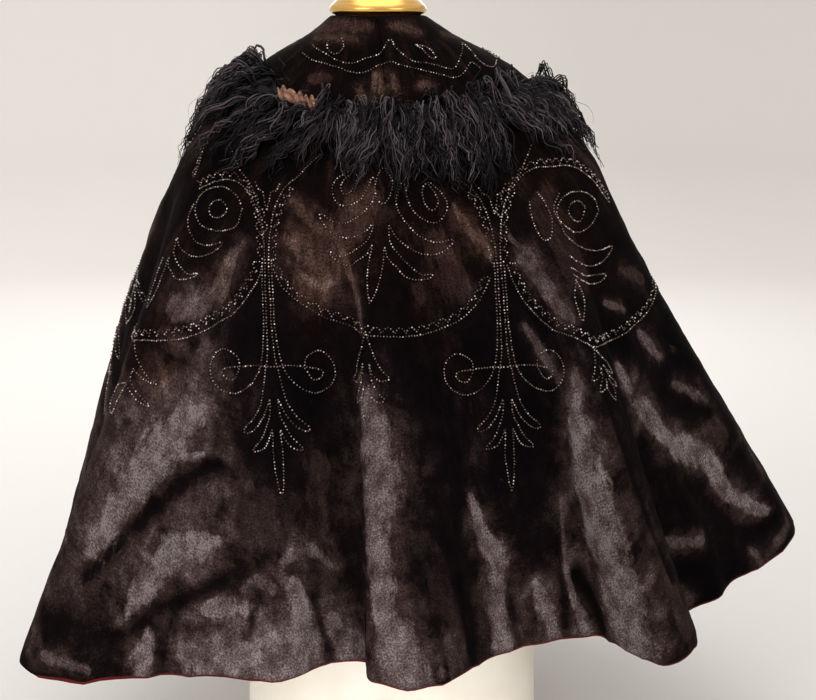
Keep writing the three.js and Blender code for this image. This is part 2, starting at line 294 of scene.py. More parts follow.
def cape_surface(thread, down):
    """Rings from the neck to the chest, then each thread straight to its place at the hem.

    thread counts round the hem table; down is 0 at the neck, CHEST at the chest, CHEST + 1 at the hem.
    The belly follows s (1 - s)^2, which 6.75 brings to 1 at its fullest. The rings are then smoothed.
    """
    angle, x, y, drop, belly = hem_at(thread).T[:, None]
    rings = [np.interp(down, range(CHEST + 1), column)[:, None] for column in RINGS.T]
    ring_x, ring_y = outline(np.radians(angle), *rings[1:5], rings[5])
    s = np.maximum(down - CHEST, 0)[:, None]
    out = belly * 6.75 * s * (1 - s) ** 2 / np.hypot(x, y)
    points = np.stack([(ring_x + rings[6]) * (1 - s) + x * (s + out), ring_y * (1 - s) + y * (s + out),
                       NECK_EDGE - rings[0] * (1 - s) - drop * s], -1)
    for _ in range(3):
        points[1:-1] = (points[:-2] + 2 * points[1:-1] + points[2:]) / 4
    return points


def running_length(points, axis):
    """Distance along a grid's rows or columns from its first point."""
    steps = np.linalg.norm(np.diff(points, axis=axis), axis=2)
    start = np.zeros_like(np.take(steps, [0], axis))
    return np.concatenate([start, np.cumsum(steps, axis)], axis)


def measure_cloth():
    """The chart of the cloth: for each distance down and around it, where that point hangs.

    Down is measured along a thread from the neck, around along the cloth from the centre back.
    """
    threads = np.linspace(0, len(HEM) - 1, (len(HEM) - 1) * CHART_THREADS + 1)
    points = cape_surface(threads, CHART_LEVELS)
    fall = running_length(points, 0)
    rows = np.arange(0, CHART_DOWN + 1, CHART_STEP)
    even = np.stack([np.stack([np.interp(rows, fall[:, j], points[:, j, k])
                               for j in range(len(threads))], 1) for k in range(3)], -1)
    around = running_length(even, 1)
    middle = np.abs(hem_at(threads)[:, 0]).argmin()
    around = around[:, middle:middle + 1] - around
    hem_fall = np.array([np.interp(CHEST + 1, CHART_LEVELS, fall[:, j]) for j in range(len(threads))])
    return threads, rows, even, around, hem_fall


THREADS, ROWS, EVEN, AROUND, HEM_FALL = measure_cloth()
SIDEWAYS = np.arange(-CHART_ASIDE, CHART_ASIDE + 1, CHART_STEP)
CHART = np.stack([[np.interp(SIDEWAYS, AROUND[i, ::-1], EVEN[i, ::-1, k]) for i in range(len(ROWS))]
                  for k in range(3)], -1)


def sample(table, rows, columns):
    """Values of a table between its entries, for fractional rows and columns."""
    rows = np.clip(rows, 0, table.shape[0] - 1.001)
    columns = np.clip(columns, 0, table.shape[1] - 1.001)
    i, j = rows.astype(int), columns.astype(int)
    a, b = rows - i, columns - j
    if table.ndim == 3:
        a, b = a[..., None], b[..., None]
    return ((table[i, j] * (1 - b) + table[i, j + 1] * b) * (1 - a)
            + (table[i + 1, j] * (1 - b) + table[i + 1, j + 1] * b) * a)


def soft_noise(x, y, cell, seed):
    """Smooth random hills from -1 to 1, one to each square cell, on a lattice that repeats every 255."""
    lattice = np.random.default_rng(seed).uniform(-1, 1, (256, 256))
    x, y = np.asarray(x) / cell + 128, np.asarray(y) / cell + 64
    i, j = np.floor(x).astype(int), np.floor(y).astype(int)
    a, b = x - i, y - j
    a, b = a * a * (3 - 2 * a), b * b * (3 - 2 * b)
    i, j = i % 255, j % 255
    return ((lattice[i, j] * (1 - a) + lattice[i + 1, j] * a) * (1 - b)
            + (lattice[i, j + 1] * (1 - a) + lattice[i + 1, j + 1] * a) * b)


def beside(x, y, x0, y0, x1, y1):
    """Distance from a short straight line, and how far along it, from 0 to 1."""
    along = np.clip(((x - x0) * (x1 - x0) + (y - y0) * (y1 - y0)) / ((x1 - x0) ** 2 + (y1 - y0) ** 2), 0, 1)
    return np.hypot(x - x0 - along * (x1 - x0), y - y0 - along * (y1 - y0)), along


# The main creases, placed on the flat cloth: depth, then places around and down with the
# crease's half width. The long ones drag from the left lobe, the short ones run up from the hem.
CREASES = [
    (4.5, (262, 585, 6), (290, 602, 8), (320, 624, 9), (345, 650, 9), (370, 672, 9), (392, 695, 9),
     (414, 716, 8), (440, 744, 8), (465, 768, 7)),
    (4.5, (235, 690, 7), (262, 706, 8), (292, 722, 9), (320, 740, 9), (342, 753, 9), (370, 766, 8),
     (400, 795, 8), (438, 818, 7)),
    (1.0, (335, 600, 3), (305, 600, 4), (276, 588, 4)),
    (2.5, (344, 752, 4), (360, 780, 5), (376, 805, 5), (380, 840, 4)),
    (1.5, (352, 770, 3), (366, 800, 4), (368, 826, 3)),
    (2.0, (168, 715, 5), (162, 750, 6), (158, 800, 5)),
    (2.5, (240, 722, 5), (258, 756, 6), (268, 775, 5)),
    (5.0, (-560, 800, 8), (-600, 812, 12), (-660, 818, 10)),
    (4.5, (-228, 735, 5), (-246, 772, 9), (-264, 815, 9)),
    (3.5, (-430, 590, 8), (-470, 618, 12), (-530, 648, 10)),
    (2.0, (-138, 738, 5), (-146, 770, 6), (-150, 805, 5)),
    (2.5, (-205, 700, 4), (-212, 750, 5), (-216, 800, 6)),
    (3.0, (-62, 700, 9), (-72, 760, 9), (-76, 800, 8)),
    (2.0, (-272, 520, 4), (-296, 570, 4), (-322, 640, 4), (-350, 700, 4), (-392, 780, 5)),
    (3.0, (-300, 505, 6), (-330, 560, 8), (-345, 600, 8)),
    (3.0, (-480, 700, 10), (-540, 760, 12), (-570, 790, 10)),
    (3.0, (78, 690, 5), (84, 750, 6), (90, 800, 6)),
    (3.0, (455, 300, 12), (490, 420, 15), (560, 540, 15)),
    (3.0, (-430, 330, 10), (-470, 420, 12), (-540, 500, 12)),
    (4.0, (600, 500, 15), (650, 640, 18), (700, 770, 18)),
    (4.0, (780, 420, 15), (880, 580, 18), (980, 740, 18)),
    (4.0, (1060, 500, 14), (1110, 640, 16), (1170, 790, 16)),
    (4.0, (-700, 520, 15), (-760, 640, 18), (-830, 760, 18)),
    (4.0, (-850, 420, 14), (-930, 580, 16), (-1020, 730, 16)),
    (4.0, (-1100, 500, 14), (-1160, 640, 16), (-1240, 790, 16))]


FAR = 9.0               # half widths, past which a stroke or a crease has no part
CRUSHED_FROM, CRUSHED_OVER = 140, 120   # the crush grows in below the neck, over a length
FLUTED_FROM, FLUTED_OVER = 560, 240     # and small flutes towards the hem


def along_stroke(around, down, places):
    """Distance from a stroke through places, as a share of its half width, from 0 on its middle."""
    share = np.full(np.broadcast(around, down).shape, FAR)
    for (x0, y0, w0), (x1, y1, w1) in zip(places, places[1:]):
        near, along = beside(around, down, x0, y0, x1, y1)
        share = np.minimum(share, near / (w0 + (w1 - w0) * along))
    return share


def relief(around, down):
    """How far the cloth stands off its smooth fall: creases with soft banks, and a little crush."""
    height = 0.9 * soft_noise(around, down, 26, 3) + 0.45 * soft_noise(around, down, 11, 4)
    height *= np.clip((down - CRUSHED_FROM) / CRUSHED_OVER, 0, 1)
    height += 1.6 * soft_noise(around, down / 3, 34, 5) * np.clip((down - FLUTED_FROM) / FLUTED_OVER, 0, 1)
    for depth, *places in CREASES:
        share = along_stroke(around, down, places)
        height += depth * (0.45 * np.exp(-(share - 2) ** 2) - np.exp(-share ** 2))
    return height


def lay(around, down, lift=0.0):
    """The place of a point on the cape's cloth, lifted off it."""
    rows, columns = np.asarray(down) / CHART_STEP, (np.asarray(around) - SIDEWAYS[0]) / CHART_STEP
    places = sample(CHART, rows, columns)
    across = sample(CHART, rows, columns + 1.5) - sample(CHART, rows, columns - 1.5)
    fall = sample(CHART, rows + 1.5, columns) - sample(CHART, rows - 1.5, columns)
    out = np.cross(across, fall)
    out /= np.linalg.norm(out, axis=-1, keepdims=True) + 1e-9
    return places + out * (np.asarray(lift) + relief(around, down))[..., None]


def around_at(thread, down):
    """How far around the cloth a thread is, at a distance down it."""
    return sample(AROUND, down / CHART_STEP, thread / (THREADS[1] - THREADS[0]))


# Crushed pile lies one way in some places and the other way in others, and takes the light there
# as a warm grey bloom. The strokes that show are placed on the flat cloth: strength, then places
# around and down with the stroke's half width.
# The bloom of these strokes is painted sheen, light painted into the plush's colour where the pile is brushed;
# the strokes along fold ridges are painted highlights.
NAP_SHEEN = [
    (0.5, (250, 455, 8), (262, 480, 11), (274, 520, 14)),
    (0.92, (272, 528, 12), (302, 555, 19), (345, 600, 25), (364, 626, 22), (380, 650, 22),
     (400, 676, 21), (418, 702, 20), (438, 727, 15), (456, 744, 9)),
    (0.9, (322, 592, 8), (300, 588, 7), (279, 579, 3)),
    (0.5, (265, 612, 12), (300, 640, 17), (335, 668, 16)),
    (0.9, (282, 674, 9), (310, 686, 15), (336, 702, 20), (358, 722, 19), (378, 743, 17), (398, 765, 12),
     (414, 785, 7), (424, 799, 3)),
    (0.4, (400, 560, 22), (440, 640, 26), (480, 720, 24)),
    (0.68, (150, 780, 34), (230, 788, 42), (330, 808, 34)),
    (0.5, (290, 520, 30), (350, 600, 40), (420, 690, 38)),
    (0.35, (250, 620, 24), (210, 640, 22), (230, 660, 20)),
    (0.35, (430, 735, 18), (500, 770, 16)),
    (0.5, (205, 750, 22), (262, 775, 24), (320, 792, 22)),
    (0.7, (206, 686, 6), (188, 671, 8), (165, 662, 9), (150, 669, 8), (138, 682, 7)),
    (0.65, (222, 712, 8), (246, 702, 9), (262, 722, 6)),
    (0.88, (330, 755, 7), (306, 752, 11), (278, 742, 14), (255, 742, 12)),
    (0.9, (196, 708, 12), (188, 740, 17), (196, 775, 20), (210, 800, 22), (240, 822, 18)),
    (0.9, (236, 770, 13), (270, 795, 17), (300, 810, 18), (330, 825, 14)),
    (0.7, (146, 742, 7), (138, 770, 12), (136, 800, 14)),
    (0.92, (384, 772, 4), (395, 800, 9), (405, 828, 13), (414, 856, 12)),
    (0.7, (352, 795, 4), (350, 820, 9), (352, 840, 9)),
    (0.4, (450, 765, 10), (485, 775, 12), (520, 790, 10)),
    (0.65, (478, 860, 6), (505, 862, 8), (535, 868, 7)),
    (0.45, (552, 850, 9), (562, 872, 9)),
    (0.3, (130, 560, 16), (150, 640, 18)),
    (0.55, (56, 452, 3), (50, 468, 7)),
    (0.78, (44, 480, 14), (38, 520, 24), (36, 560, 27), (38, 600, 26), (46, 640, 18), (46, 680, 16),
     (44, 720, 19), (38, 750, 24), (30, 780, 31), (22, 818, 37)),
    (0.4, (-36, 765, 7), (-42, 790, 11), (-44, 815, 11)),
    (0.22, (-20, 680, 18), (-40, 740, 24)),
    (0.82, (-86, 606, 5), (-93, 628, 10), (-102, 655, 11), (-112, 674, 14), (-126, 698, 15)),
    (0.78, (-112, 706, 9), (-118, 725, 13), (-122, 755, 16), (-127, 790, 18), (-130, 812, 18)),
    (0.4, (-145, 745, 8), (-158, 770, 9)),
    (0.78, (-175, 732, 6), (-187, 760, 12), (-195, 790, 14), (-201, 815, 15)),
    (0.6, (-209, 640, 2.5), (-212, 700, 4), (-217, 740, 5), (-224, 762, 6)),
    (0.78, (-224, 762, 6), (-235, 790, 9), (-244, 815, 10)),
    (0.6, (-235, 498, 5), (-238, 520, 9)),
    (0.88, (-238, 530, 9), (-241, 560, 17), (-250, 600, 24), (-257, 640, 27), (-271, 690, 31),
     (-285, 725, 31), (-297, 755, 29), (-306, 785, 32), (-319, 815, 32), (-332, 842, 29),
     (-345, 862, 20)),
    (0.35, (-370, 745, 12), (-390, 790, 16), (-410, 835, 16)),
    (0.88, (-333, 520, 4), (-352, 543, 8), (-374, 574, 10), (-396, 601, 10), (-421, 626, 9),
     (-448, 648, 12), (-478, 664, 14), (-508, 684, 14), (-534, 706, 13), (-553, 728, 10),
     (-572, 752, 9), (-600, 774, 8), (-648, 802, 5)),
    (0.62, (-384, 506, 5), (-405, 525, 8), (-426, 549, 5)),
    (0.6, (-308, 446, 3), (-330, 458, 4), (-352, 470, 3)),
    (0.6, (-452, 586, 5), (-476, 604, 7), (-502, 619, 7), (-532, 644, 5)),
    (0.6, (-448, 751, 5), (-470, 762, 8), (-508, 775, 6)),
    (0.5, (-484, 812, 4), (-506, 840, 6)),
    (0.6, (-612, 822, 5), (-642, 852, 6)),
    (0.35, (-535, 655, 7), (-558, 684, 7)),
    (0.35, (-600, 700, 8), (-650, 760, 10)),
    (0.45, (-690, 830, 8), (-660, 845, 10)),
    (0.5, (112, 256, 8), (98, 272, 10), (86, 284, 7)),
    (0.62, (122, 306, 10), (104, 322, 14), (84, 332, 10)),
    (0.72, (110, 344, 8), (92, 352, 9), (78, 344, 6)),
    (0.55, (66, 285, 5), (54, 325, 6), (46, 365, 4), (43, 402, 3)),
    (0.6, (-84, 262, 4), (-98, 288, 7), (-112, 308, 8), (-124, 328, 6)),
    (0.55, (-150, 315, 3), (-178, 350, 4), (-206, 396, 4)),
    (0.6, (-162, 346, 5), (-186, 378, 8), (-212, 418, 8), (-236, 442, 6)),
    (0.6, (-166, 426, 4), (-190, 466, 7), (-214, 500, 6)),
    (0.62, (186, 322, 5), (208, 356, 9), (232, 392, 13), (262, 414, 16), (298, 436, 14)),
    (0.4, (312, 250, 7), (276, 222, 8), (236, 196, 6)),
    (0.3, (-30, 352, 9), (-34, 366, 6)),
    (0.45, (20, 240, 20), (60, 290, 24), (100, 350, 30)),
    (0.35, (-60, 300, 20), (-80, 350, 24)),
    (0.3, (-200, 300, 24), (-260, 400, 24)),
    (0.4, (-350, 424, 6), (-400, 452, 8)),
    (0.3, (-262, 240, 6), (-330, 312, 8)),
    (0.35, (230, 480, 8), (300, 500, 12), (330, 520, 10))]
HIDDEN_STROKES = 34     # on each side
SEEN_TO = ((1, 520), (-1, 660))         # side, and how far round it the photograph shows
LEAST_SHEEN = 0.3
STROKE_EDGE = 2.2       # how abruptly a stroke ends
SHEEN_WASH_HALF = 2.4         # the wash's half width, in half widths of its stroke


def hidden_sheen_strokes():
    """Strokes like those at the back, at random down the threads of the sides and the fronts."""
    draw = np.random.default_rng(17)
    strokes = []
    for side, edge in SEEN_TO:
        for x, y, lean, long, wide, strength in zip(
                draw.uniform(edge + 40, 1450, HIDDEN_STROKES), draw.uniform(240, 760, HIDDEN_STROKES),
                draw.uniform(0.2, 1.0, HIDDEN_STROKES), draw.uniform(60, 190, HIDDEN_STROKES),
                draw.uniform(8, 26, HIDDEN_STROKES), draw.uniform(0.35, 0.92, HIDDEN_STROKES)):
            x *= 0.42 + 0.58 * y / 760
            strokes.append((strength, (side * x, y, wide * 0.6),
                            (side * (x + lean * long / 2), y + long / 2, wide),
                            (side * (x + lean * long), y + long, wide * 0.7)))
    return strokes


def nap_sheen(around, down, strokes):
    """How the pile is brushed, for its painted sheen: how far inside a stroke, that stroke's strength, and the
    wash round it.

    A stroke's share falls to one half at its half width. The creases darken the pile's colour in them, as painted
    shade.
    """
    inside = np.zeros(np.broadcast(around, down).shape)
    sheen_strength, sheen_wash = np.full(inside.shape, LEAST_SHEEN), np.zeros(inside.shape)
    for strength, *places in strokes:
        near = along_stroke(around, down, places)
        share = np.exp(-0.69 * near ** STROKE_EDGE)
        better = share * strength > inside * sheen_strength
        inside, sheen_strength = np.where(better, share, inside), np.where(better, strength, sheen_strength)
        sheen_wash = sheen_wash + strength * np.exp(-(near / SHEEN_WASH_HALF) ** 2) * (1 - sheen_wash)
    # Painted shade: the sheen and its wash are darkened along the creases.
    for depth, *places in CREASES:
        crease_shade = np.exp(-along_stroke(around, down, places) ** 2) * min(depth / 3, 1)
        inside *= 1 - 0.85 * crease_shade
        sheen_wash *= 1 - 0.8 * crease_shade
    return {"nap_sheen": inside, "sheen_strength": sheen_strength, "sheen_wash": sheen_wash}


def plush():
    """Near-black brown silk pile, with a painted sheen: a warm grey bloom in its brushed strokes, ragged at their
    edges.

    The ragged noise runs along the threads, which spread from the neck, and the fine grain has no
    direction. The bloom is warmer near the shoulders and cooler near the hem.
    """
    made, tree, shader = new_material("plush", Roughness=0.8, Specular_IOR_Level=0.02, Sheen_Weight=0.012,
                                      Sheen_Roughness=0.4, Sheen_Tint=(0.55, 0.42, 0.36, 1))
    cloth = add_node(tree, "ShaderNodeUVMap", uv_map="cloth").outputs["UV"]
    noise = lambda place, scale, detail, rough: add_node(tree, "ShaderNodeTexNoise", {
        "Vector": place, "Scale": scale, "Detail": detail, "Roughness": rough}).outputs["Fac"]
    span = lambda value, low, high, to_low, to_high: add_node(tree, "ShaderNodeMapRange", {
        "Value": value, "From Min": low, "From Max": high, "To Min": to_low, "To Max": to_high}).outputs[0]
    maths = lambda operation, *values: add_node(tree, "ShaderNodeMath", dict(enumerate(values)),
                                                operation=operation).outputs[0]
    apart = add_node(tree, "ShaderNodeSeparateXYZ", {0: cloth}).outputs
    across = maths("DIVIDE", maths("MULTIPLY", apart[0], 0.8), maths("ADD", apart[1], 0.08))
    slower = maths("MULTIPLY", apart[1], 0.5)
    fall = add_node(tree, "ShaderNodeCombineXYZ", {0: across, 1: slower}).outputs[0]
    inside = add_node(tree, "ShaderNodeAttribute", attribute_name="nap_sheen").outputs["Fac"]
    sheen_strength = add_node(tree, "ShaderNodeAttribute", attribute_name="sheen_strength").outputs["Fac"]
    sheen_wash = add_node(tree, "ShaderNodeAttribute", attribute_name="sheen_wash").outputs["Fac"]
    # Painted sheen: the strokes, the wash round them and loose patches lighten the pile's colour.
    ragged = maths("ADD", inside, span(noise(fall, 34.0, 9.0, 0.72), 0.25, 0.75, -0.62, 0.62))
    stroke = maths("MULTIPLY", sheen_strength, add_node(tree, "ShaderNodeMapRange", {
        "Value": ragged, "From Min": 0.16, "From Max": 0.90}, interpolation_type="SMOOTHSTEP").outputs[0])
    loose = span(noise(fall, 13.0, 9.0, 0.66), 0.45, 0.76, 0.0, 0.33)
    brushed_sheen = maths("MULTIPLY", sheen_wash, span(noise(cloth, 24.0, 9.0, 0.68), 0.30, 0.66, 0.0, 0.86))
    laid_sheen = maths("MAXIMUM", stroke, maths("MAXIMUM", brushed_sheen, loose))
    cloudy = maths("MULTIPLY", span(noise(fall, 75.0, 5.0, 0.6), 0.3, 0.7, 0.68, 1.25),
                   span(noise(cloth, 36.0, 4.0, 0.6), 0.3, 0.7, 0.66, 1.16))
    grain = noise(cloth, 420.0, 3.0, 0.6)
    lit = maths("MULTIPLY", maths("MULTIPLY", laid_sheen, cloudy), span(grain, 0.3, 0.7, 0.50, 1.46))
    colour = colour_between(tree, lit, (0.0, (0.0010, 0.0006, 0.0009)), (1.0, (0.152, 0.124, 0.122)),
                            (0.12, (0.0037, 0.0019, 0.0021)), (0.35, (0.0232, 0.0137, 0.0126)),
                            (0.65, (0.066, 0.0465, 0.0445)))
    height = maths("ADD", maths("MULTIPLY", apart[1], 1.1), noise(cloth, 7.0, 3.0, 0.5))
    cast = colour_between(tree, height, (0.85, (1.0, 0.84, 0.71)), (1.0, (0.96, 0.98, 1.0)))
    mixed = add_node(tree, "ShaderNodeMix", {"Factor": 1.0, 6: colour, 7: cast},
                     data_type="RGBA", blend_type="MULTIPLY")
    tree.links.new(mixed.outputs[2], shader.inputs["Base Color"])
    bumped(tree, shader, grain, 0.5, 0.7)
    return made


PLUSH = plush()
PANEL_STEPS = 11        # columns to each entry of the hem table
PANEL_LEVELS = np.concatenate([np.linspace(0, CHEST, 25), CHEST + np.linspace(0, 1, 101)[1:]])
SHEEN_STROKES = NAP_SHEEN + hidden_sheen_strokes()
PLUSH_WALL = 2.0
SEAM = 0.3              # gap between two pieces sewn together
SEAM_EASE = 0.02
HEM_ROLLED, HEM_ROLL_DEEP = 1.2, 3      # how far the hem rolls inward, over what length
HEM_WAVE_DEEP = 30      # length over which the hem's unevenness fades


def hem_wave(around):
    """The hem's small unevenness, where the plush has stretched between its stitches."""
    return 1.7 * soft_noise(around, 0 * around, 27, 8) + 0.8 * soft_noise(around, 0 * around, 12, 9)


def cape_panel(start, end):
    """Points of the cape between two entries of the hem table, and their places on the flat cloth."""
    threads = np.linspace(start, end, (end - start) * PANEL_STEPS + 1)
    smooth = cape_surface(threads, PANEL_LEVELS)
    down = running_length(smooth, 0)
    around = around_at(np.broadcast_to(threads, down.shape), down)
    hem = down[-1:] - down
    turned_in = HEM_ROLLED * np.exp(-(hem / HEM_ROLL_DEEP) ** 2)
    down = down + hem_wave(around) * np.exp(-(hem / HEM_WAVE_DEEP) ** 2)
    points = lay(around, down, -turned_in)
    for column, inner in ((0, 1), (-1, -2)):
        edge = points[:, inner] - points[:, column]
        points[:, column] += edge / np.linalg.norm(edge, axis=1, keepdims=True) * (SEAM / 2 + SEAM_EASE)
    return points, around, down


def thicken(piece, wall):
    """A wall of cloth behind the piece's own surface, closed along its edges."""
    solid = piece.modifiers.new("wall", "SOLIDIFY")
    solid.thickness, solid.offset, solid.use_even_offset = wall * MM, -1, True


for node_name, (start, end) in PANELS.items():
    points, around, down = cape_panel(start, end)
    panel = add_piece(node_name.replace("cape", "plush"), "plush", PLUSH, points,
                      grid_faces(*points.shape[:2]), cloth=np.stack([around, down], -1),
                      **nap_sheen(around, down, SHEEN_STROKES))
    thicken(panel, PLUSH_WALL)
    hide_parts(node_name)


# The lining is dark red cotton satin, cut like the plush and felled to it just above the hem.
# It has sunk a little all round, and most along the left lobe, where a red edge shows.
LINING_BEHIND = 2.35
LINING_WALL = 0.6
LINING_SUNK, LINING_DROPPED = 1.9, 4.0  # below the hem all round, and along the lobe
DROPPED_FROM, DROPPED_TO, DROPPED_OVER = 380, 560, 40
LINING_STEPS, LINING_ROWS = 6, 60


def red_satin():
    """Dark red satin with fine ribs and a soft shine."""
    made, tree, shader = new_material("red_satin", Roughness=0.6, Specular_IOR_Level=0.12)
    cloth = add_node(tree, "ShaderNodeUVMap", uv_map="cloth").outputs["UV"]
    ribs = add_node(tree, "ShaderNodeTexWave", {"Vector": cloth, "Scale": 420.0, "Distortion": 0.8},
                    bands_direction="DIAGONAL").outputs["Fac"]
    worn = add_node(tree, "ShaderNodeTexNoise", {"Vector": cloth, "Scale": 14.0, "Detail": 5.0})
    colour = colour_between(tree, worn.outputs["Fac"], (0.3, (0.060, 0.004, 0.005)), (0.75, (0.12, 0.008, 0.009)))
    tree.links.new(colour, shader.inputs["Base Color"])
    bumped(tree, shader, ribs, 0.08)
    return made


def lining_surface():
    """The cape's own surface moved inward, more at the creases, and a little longer than the plush."""
    threads = np.linspace(0.02, len(HEM) - 1.02, LINING_STEPS * (len(HEM) - 1) + 1)
    hem = np.interp(threads, THREADS, HEM_FALL)
    share = np.linspace(0, 1, LINING_ROWS)[:, None]
    at_hem = around_at(threads, hem)
    dropped = (np.clip((at_hem - DROPPED_FROM) / DROPPED_OVER, 0, 1)
               * np.clip((DROPPED_TO - at_hem) / DROPPED_OVER, 0, 1))
    dropped *= 0.75 + 0.25 * soft_noise(at_hem, 0 * at_hem, 18, 21)
    down = share * (hem + hem_wave(at_hem) + LINING_SUNK + (LINING_DROPPED - LINING_SUNK) * dropped)
    around = around_at(np.broadcast_to(threads, down.shape), down)
    clear = sum(0.5 * depth * np.exp(-(along_stroke(around, down, places) / 2) ** 2)
                for depth, *places in CREASES)
    return lay(around, down, -LINING_BEHIND - clear * np.clip((hem - down) / 12, 0, 1)), around, down


lining_points, around, down = lining_surface()
lining = add_piece("lining", None, red_satin(), lining_points, grid_faces(*lining_points.shape[:2]),
                   cloth=np.stack([around, down], -1))
thicken(lining, LINING_WALL)


# The collar is a wide yoke of the same plush in two halves, joined by a seam down the centre
# back, and lies over the shoulders on the cape.
COLLAR_BACK, COLLAR_SIDE, COLLAR_FRONT = 112, 124, 173
COLLAR_SLIPPED, SLIPPED_AT, SLIPPED_HALF = 60, -103, 50      # further down, over the right arm
COLLAR_DIP, DIP_HALF = 21, 45           # further down at the centre back
COLLAR_GAP, COLLAR_WALL = 1.3, 3.0      # over the cape, and the CAD solid's own wall
COLLAR_CLOTH = 2.2
COLLAR_ROWS, COLLAR_COLUMNS = 46, 110
COLLAR_SEAM_DEPTH = 1.6
COLLAR_SEAM_EASE = 0.05
EDGE_ROLLED, EDGE_ROLL_DEEP = 1.3, 1.6
# Strokes of painted sheen on the collar's pile: strength, then places with half widths; those by the centre seam
# are painted highlights.
COLLAR_NAP_SHEEN = [
    (0.42, (110, 28, 9), (78, 22, 13), (44, 16, 12), (14, 14, 9)),
    (0.45, (92, 44, 5), (66, 36, 7), (30, 34, 5)),
    (0.42, (-16, 16, 6), (-34, 18, 9), (-50, 30, 6)),
    (0.6, (8, 82, 6), (6, 100, 9)),
    (0.5, (-10, 84, 5), (-14, 98, 6)),
    (0.5, (28, 104, 6), (24, 112, 5)),
    (0.5, (-48, 102, 6), (-58, 108, 6)),
    (0.45, (-176, 84, 6), (-205, 108, 9)),
    (0.35, (70, 92, 6), (90, 100, 7)),
    (0.35, (-90, 40, 6), (-120, 52, 5)),
    (0.4, (150, 60, 9), (200, 90, 11)),
    (0.4, (250, 60, 9), (300, 90, 11)),
    (0.4, (-260, 60, 9), (-310, 92, 11)),
    (0.4, (360, 50, 9), (400, 90, 11)),
    (0.4, (-350, 50, 9), (-395, 90, 11))]


def collar_width(angle):
    """Width of the collar down a thread: wide over the arms, and slipped down at the right and back."""
    slipped = (COLLAR_SLIPPED * np.exp(-((angle - SLIPPED_AT) / SLIPPED_HALF) ** 2)
               + COLLAR_DIP * np.exp(-(angle / DIP_HALF) ** 2))
    return (slipped + (COLLAR_BACK + COLLAR_SIDE) / 2
            + (COLLAR_BACK - COLLAR_SIDE) / 2 * np.cos(2 * np.radians(angle)))


def thread_at(angle):
    """The thread that leaves the neck at an angle from the centre back."""
    return np.interp(-angle, -hem_at(THREADS)[:, 0], THREADS)


def collar_lift(around, down):
    """The collar's height over the cape: two cloths, soft dents, and the sunk seam at the centre."""
    dents = 0.7 * soft_noise(around, down, 24, 31) + 0.3 * soft_noise(around, down, 9, 32)
    seam = COLLAR_SEAM_DEPTH * np.exp(-(around / 2.2) ** 2) * np.clip(down / 8, 0.3, 1)
    pucker = 0.5 * np.sin(down * 2 * np.pi / 11) * np.exp(-(around / 9) ** 2)
    return COLLAR_GAP + COLLAR_WALL + dents * np.clip(down / 20, 0, 1) - seam + pucker


for side, name in ((1, "left"), (-1, "right")):
    angle = side * np.linspace(0, 1, COLLAR_COLUMNS) ** 1.15 * COLLAR_FRONT
    threads = thread_at(angle)
    down = np.linspace(0, 1, COLLAR_ROWS)[:, None] * collar_width(angle)
    around = around_at(np.broadcast_to(threads, down.shape), down)
    edge = np.minimum(down, collar_width(angle) - down)
    rolled = EDGE_ROLLED * np.exp(-(edge / EDGE_ROLL_DEEP) ** 2)
    points = lay(around, down, collar_lift(around, down) - rolled)
    points[:, 0, 0] += side * (SEAM / 2 + COLLAR_SEAM_EASE)
    faces = grid_faces(COLLAR_ROWS, COLLAR_COLUMNS)[:, ::-side]
    collar = add_piece(f"collar_plush_{name}", "plush", PLUSH, points, faces,
                       cloth=np.stack([around, down], -1), **nap_sheen(around, down, COLLAR_NAP_SHEEN))
    thicken(collar, COLLAR_CLOTH)
    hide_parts(f"collar_{name}")


# The fur is a strip of lambskin with long loose curls, sewn round the edge of the collar. Under
# the curls lies a dense dark mass of shorter wool, which this piece is; its near-black colour is
# painted shade between the curls.
FUR_FRONT = 172         # angle from the centre back at which the fur ends
FUR_LENGTH = 112
LENGTH_AT = (-172, -110, -70, -45, -25, 0, 15, 30, 60, 90, 172)       # angles from the centre back
LENGTH_SHARE = (0.8, 0.80, 0.92, 0.96, 0.88, 0.76, 0.66, 0.60, 0.84, 1.22, 0.8)
FUR_BACK, FUR_SIDE = 21, 38             # how far the fur stands off
FUR_COLUMNS = 420
FUR_EDGE = 840          # length of the collar's edge
BARE_AROUND, BARE_HALF = 108, 38        # the worn stretch left of the centre back, at the collar's edge


def curly_wool():
    """Black lamb's wool of random tone, near black at the skin as painted shade, cool dark grey as painted
    highlight where the curls catch the light.
    """
    made, tree, shader = new_material("curly_wool", Roughness=0.5, Specular_IOR_Level=0.12)
    shade = add_node(tree, "ShaderNodeAttribute", attribute_name="shade").outputs["Fac"]
    colour = colour_between(tree, shade, (0.0, (0.0004, 0.0003, 0.0004)), (1.0, (0.088, 0.070, 0.078)),
                            (0.5, (0.0090, 0.0068, 0.0078)))
    tree.links.new(colour, shader.inputs["Base Color"])
    place = add_node(tree, "ShaderNodeTexCoord").outputs["Object"]
    hairs = add_node(tree, "ShaderNodeTexNoise", {"Vector": place, "Scale": 900.0, "Detail": 2.0})
    bumped(tree, shader, hairs.outputs["Fac"], 0.3)
    return made


WOOL = curly_wool()


def over_arms(angle):
    """0 at the centre back and front, 1 over the arms."""
    return np.sin(np.radians(angle)) ** 2


def past_arms(angle):
    """0 at the back and over the arms, 1 in front."""
    return np.clip((np.abs(angle) - 75) / 40, 0, 1)


